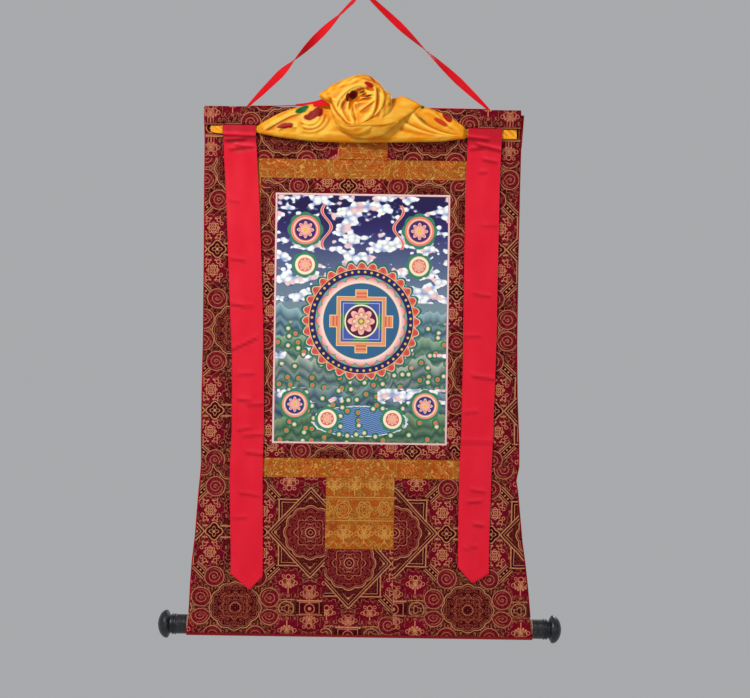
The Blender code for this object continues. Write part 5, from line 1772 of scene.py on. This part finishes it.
def make_ribbon(name):
    runs, ends = RIBBON_RUNS[name], RIBBON_ENDS[name]
    length = runs[0][0] - runs[-1][0]
    rows = np.linspace(0, len(runs) - 1, round(length / 0.003))
    z, middle, width, front = (column[:, None] for column in smooth_rows(runs, rows).T)
    across = stops(float(np.mean(width)), 0.003, (0.0005, 0.0012, 0.0026))[None, :]
    tip = RIBBON_TIP_ROWS
    for _ in range(tip):
        z = np.vstack((z, z[-1:]))
        middle, width, front = (np.vstack((c, c[-1:])) for c in (middle, width, front))
    z = z + 0 * across
    cut = columns_at(ends, across[0])[0]
    for i in range(tip):
        z[-tip + i] += (cut - z[-tip - 1]) * (i + 1) / tip
    part = np.clip((-z + runs[0][0]) / length, 0, 1)
    x = middle + width * (across - 0.5)
    crease = np.zeros_like(z)
    for left_z, right_z, start, end, deep in CREASES[name]:
        line = left_z + (right_z - left_z) * across
        reach = smooth_step((across - start) / 0.15) * smooth_step((end - across) / 0.15)
        off = (z - line) / CREASE_WIDTH
        crease += deep * reach * (off * np.exp(0.5 - off * off / 2) - 0.6 * np.exp(-off * off))
    lengthwise = 0.00035 * np.sin(across * 9 + z * 14) * np.sin(np.pi * across)
    bow = 0.0005 * (2 * across - 1) ** 2
    rim = np.minimum(across, 1 - across) * float(np.mean(width))
    selvedge = 0.00025 * bell(rim - 0.0016, 0.0006)
    y = swell(x, z) - front - lengthwise - crease + bow * part + selvedge
    points = stacked(x, y, z)
    # painted shade in the creases and along the selvedge groove, painted highlights on the creases' ridges,
    # and a painted shadow of the silk cover over the ribbon's top
    shade = np.clip(crease / 0.0010, -1, 1) - 0.25 * bell(rim - 0.0016, 0.0005)
    shade = np.clip(shade * 0.8 - 0.55 * smooth_step((z + 0.272) / 0.024), -1, 1)
    mesh = grid_mesh(name, points, stacked(x - middle, z), {"fold": shade})
    flat = (float(np.mean(width)), runs[0][0] - min(height for _, height in ends))
    cloth(name, mesh, SATIN, flat, thickness=RIBBON_THICK)


def strip_grid(name, stations, columns=9):
    """A tape along stations of (middle, direction across, width), with a thin woven edge."""
    middles = np.array([tuple(s[0]) for s in stations])
    sides = np.array([tuple(s[1]) for s in stations])
    widths = np.array([s[2] for s in stations])[:, None, None]
    across = np.linspace(0, 1, columns)
    edge = TAPE_EDGE_SHARE
    across = np.concatenate((across[:1], (edge,), across[1:-1], (1 - edge,), across[-1:]))
    points = middles[:, None] + sides[:, None] * widths * (across[None, :, None] - 0.5)
    normals = np.cross(sides, np.gradient(middles, axis=0))
    normals /= np.linalg.norm(normals, axis=1, keepdims=True) + 1e-12
    cup = 0.00035 * (1 - (2 * across - 1) ** 2)
    points = points + normals[:, None] * cup[None, :, None]
    run = np.concatenate(((0,), np.cumsum(np.linalg.norm(np.diff(middles, axis=0), axis=1))))
    uvs = np.stack(np.meshgrid(across * TAPE_WIDTH, run), axis=-1)
    return grid_mesh(name, points, uvs)


def side_of(run, degrees):
    facing = run.cross(Vector((0, 1, 0))).normalized()
    turn = math.radians(degrees)
    return facing * math.cos(turn) + Vector((0, math.sin(turn), 0))


def tape_leg(side, twist, steps=90):
    foot_x, foot_z = TAPE_FOOT[side]
    behind = HEAD_SECTION[0][0] + BROCADE_THICK / 2 + LAYER_GAP + TAPE_THICK / 2
    arc = NAIL_RADIUS + TAPE_THICK / 2
    lean = math.atan2(abs(foot_x), -foot_z)
    sign = math.copysign(1, foot_x)
    top = Vector((sign * arc * math.cos(lean), 0, -NAIL_RADIUS + arc * math.sin(lean)))
    foot = Vector((foot_x, behind, foot_z))
    forward = 1 if side == "left" else -1
    run = (top - foot).normalized() * forward
    up = Vector((0, 0, forward))
    stations = []
    for below in TAPE_SEWN:
        stations.append((foot + Vector((0, 0, below)), side_of(up, twist[0][1]), TAPE_WIDTH * twist[0][2]))
    for i in range(steps + 1):
        part = i / steps
        degrees, width = (float(column) for column in columns_at(twist, part))
        direction = up.lerp(run, min(1, part / TAPE_LEANS_BY)).normalized()
        stations.append((foot.lerp(top, part), side_of(direction, degrees), TAPE_WIDTH * width))
    return stations


def make_tape():
    arc = NAIL_RADIUS + TAPE_THICK / 2
    over = []
    for degrees in range(-30, 31, 10):
        bend = math.radians(degrees)
        place = Vector((arc * math.sin(bend), 0, -NAIL_RADIUS + arc * math.cos(bend)))
        over.append((place, Vector((0, 1, 0)), TAPE_WIDTH))
    left = tape_leg("left", LEFT_TWIST)
    right = tape_leg("right", RIGHT_TWIST)
    mesh = strip_grid("hanging_tape", left + over + right[::-1])
    flat = FLAT_SIZES["hanging_tape"]
    cloth("hanging_tape", mesh, TAPE_RED, flat, TAPE_THICK)


# the tape's end where it comes forward into the knot: pixel, depth, turn, width in metres
KNOT_ROUTE = (
    (296, 104.6, 0.0075, 70, 0.006), (304, 104.4, 0.011, 50, 0.007), (311, 104.2, 0.018, 25, 0.0085),
    (317, 103.6, 0.027, 5, 0.0105), (322.5, 102.5, 0.033, -5, 0.0125), (327, 102, 0.036, -10, 0.0135),
    (330.5, 102, 0.0355, -14, 0.013), (333, 102.3, 0.032, -18, 0.012),
)


def make_tie():
    stations = []
    for x, y, z, degrees, width in smoothed(TIE_ROUTE, 6):
        side = side_of(Vector((1, 0, 0)), 90 - degrees)
        stations.append((Vector((x, y, z)), side, TAPE_WIDTH * width))
    knot = []
    for px, py, depth, degrees, width in smoothed(KNOT_ROUTE, 6):
        x, z = seen(px, py, depth)
        knot.append((Vector((x, -depth, z)), side_of(Vector((1, 0, 0)), degrees), width))
    mesh = joined([strip_grid("tie_tape", stations), strip_grid("knot", knot)])
    flat = FLAT_SIZES["tie_tape"]
    cloth("tie_tape", mesh, TAPE_RED, flat, TAPE_THICK)


def rounded(profile, radius=0.0004, steps=3):
    """A profile with its corners cut round."""
    points = [Vector(point) for point in profile]
    result = [points[0]]
    for before, here, after in zip(points, points[1:], points[2:]):
        a, b = before - here, after - here
        reach = min(radius, a.length / 3, b.length / 3)
        start, end = here + a.normalized() * reach, here + b.normalized() * reach
        for i in range(steps + 1):
            t = i / steps
            result.append(start * (1 - t) ** 2 + here * 2 * t * (1 - t) + end * t * t)
    result.append(points[-1])
    return result


def make_cap(name, end, sign, sides=96):
    """A turned cap, with its bore over the roller's tenon and its beads rounded."""
    bore = TENON_RADIUS + CAP_FIT
    floor = TENON_LENGTH + CAP_FIT
    socket = ((floor, 0), (floor, bore), (CAP_FIT, bore))
    outside = tuple((CAP_FIT + along, radius) for along, radius in CAP_PROFILE)
    profile = np.array([tuple(point) for point in rounded(socket + outside)])
    turn = np.linspace(0, 2 * np.pi, sides, endpoint=False)[None, :]
    x = end + sign * profile[:, :1] + 0 * turn
    y = profile[:, 1:] * np.cos(turn)
    z = ROLLER_AXIS + profile[:, 1:] * np.sin(turn)
    points = stacked(x, y, z)
    mesh = grid_mesh(name, points, points[..., (0, 2)], around=True)
    bm = bmesh.new()
    bm.from_mesh(mesh)
    bmesh.ops.remove_doubles(bm, verts=bm.verts, dist=1e-6)
    bmesh.ops.recalc_face_normals(bm, faces=bm.faces)
    bm.to_mesh(mesh)
    bm.free()
    mesh.shade_smooth()
    mesh.set_sharp_from_angle(angle=CAP_SHARP_FROM)
    stands_for(add_object(name + "_turned", mesh, CAP), name)


# everything together

make_lining()
make_head()
make_sides()
make_foot()
make_frames()
make_picture()
make_top_patch()
make_silk()
for ribbon in RIBBON_RUNS:
    make_ribbon(ribbon)
make_tape()
make_tie()
make_cap("cap_right", ROLLER_ENDS[1], 1)
make_cap("cap_left", ROLLER_ENDS[0], -1)
for wooden in ("batten", "roller"):
    for material_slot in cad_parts[wooden].material_slots:
        material_slot.material = WOOD

# floor, light and world

FLOOR_HEIGHT = -1.95
FLOOR_RADIUS = 3.0
FLOOR_COLOUR = (214, 214, 212)


def make_floor():
    bm = bmesh.new()
    bmesh.ops.create_circle(bm, cap_ends=True, segments=96, radius=FLOOR_RADIUS)
    mesh = bpy.data.meshes.new("floor")
    bm.to_mesh(mesh)
    bm.free()
    material, g = new_material("floor", FLOOR_COLOUR, 0.7)
    g.shader.inputs["Base Color"].default_value = shader_colour(FLOOR_COLOUR)
    floor = add_object("floor", mesh, material)
    floor.location = (0, 0, FLOOR_HEIGHT)


def add_light(name, place, target, size, power, colour=(1, 1, 1)):
    light = bpy.data.lights.new(name, "AREA")
    light.shape = "DISK"
    light.size = size
    light.energy = power
    light.color = colour
    obj = bpy.data.objects.new(name, light)
    bpy.context.scene.collection.objects.link(obj)
    obj.location = place
    obj.rotation_euler = (Vector(target) - Vector(place)).to_track_quat("-Z", "Y").to_euler()


make_floor()
add_light("key", (-1.5, -2.3, 0.9), (0, 0, -0.45), 0.5, 66, (1, 0.98, 0.95))
add_light("fill", (1.9, -2.4, -0.5), (0, 0, -0.6), 1.6, 10)
add_light("back", (1.2, 2.4, 0.6), (0, 0, -0.5), 1.4, 26)
world = bpy.data.worlds.new("studio")
world.use_nodes = True
background = world.node_tree.nodes["Background"].inputs
background["Color"].default_value = (0.86, 0.87, 0.90, 1)
background["Strength"].default_value = 0.46
bpy.context.scene.world = world
bpy.context.scene.view_settings.view_transform = "Standard"
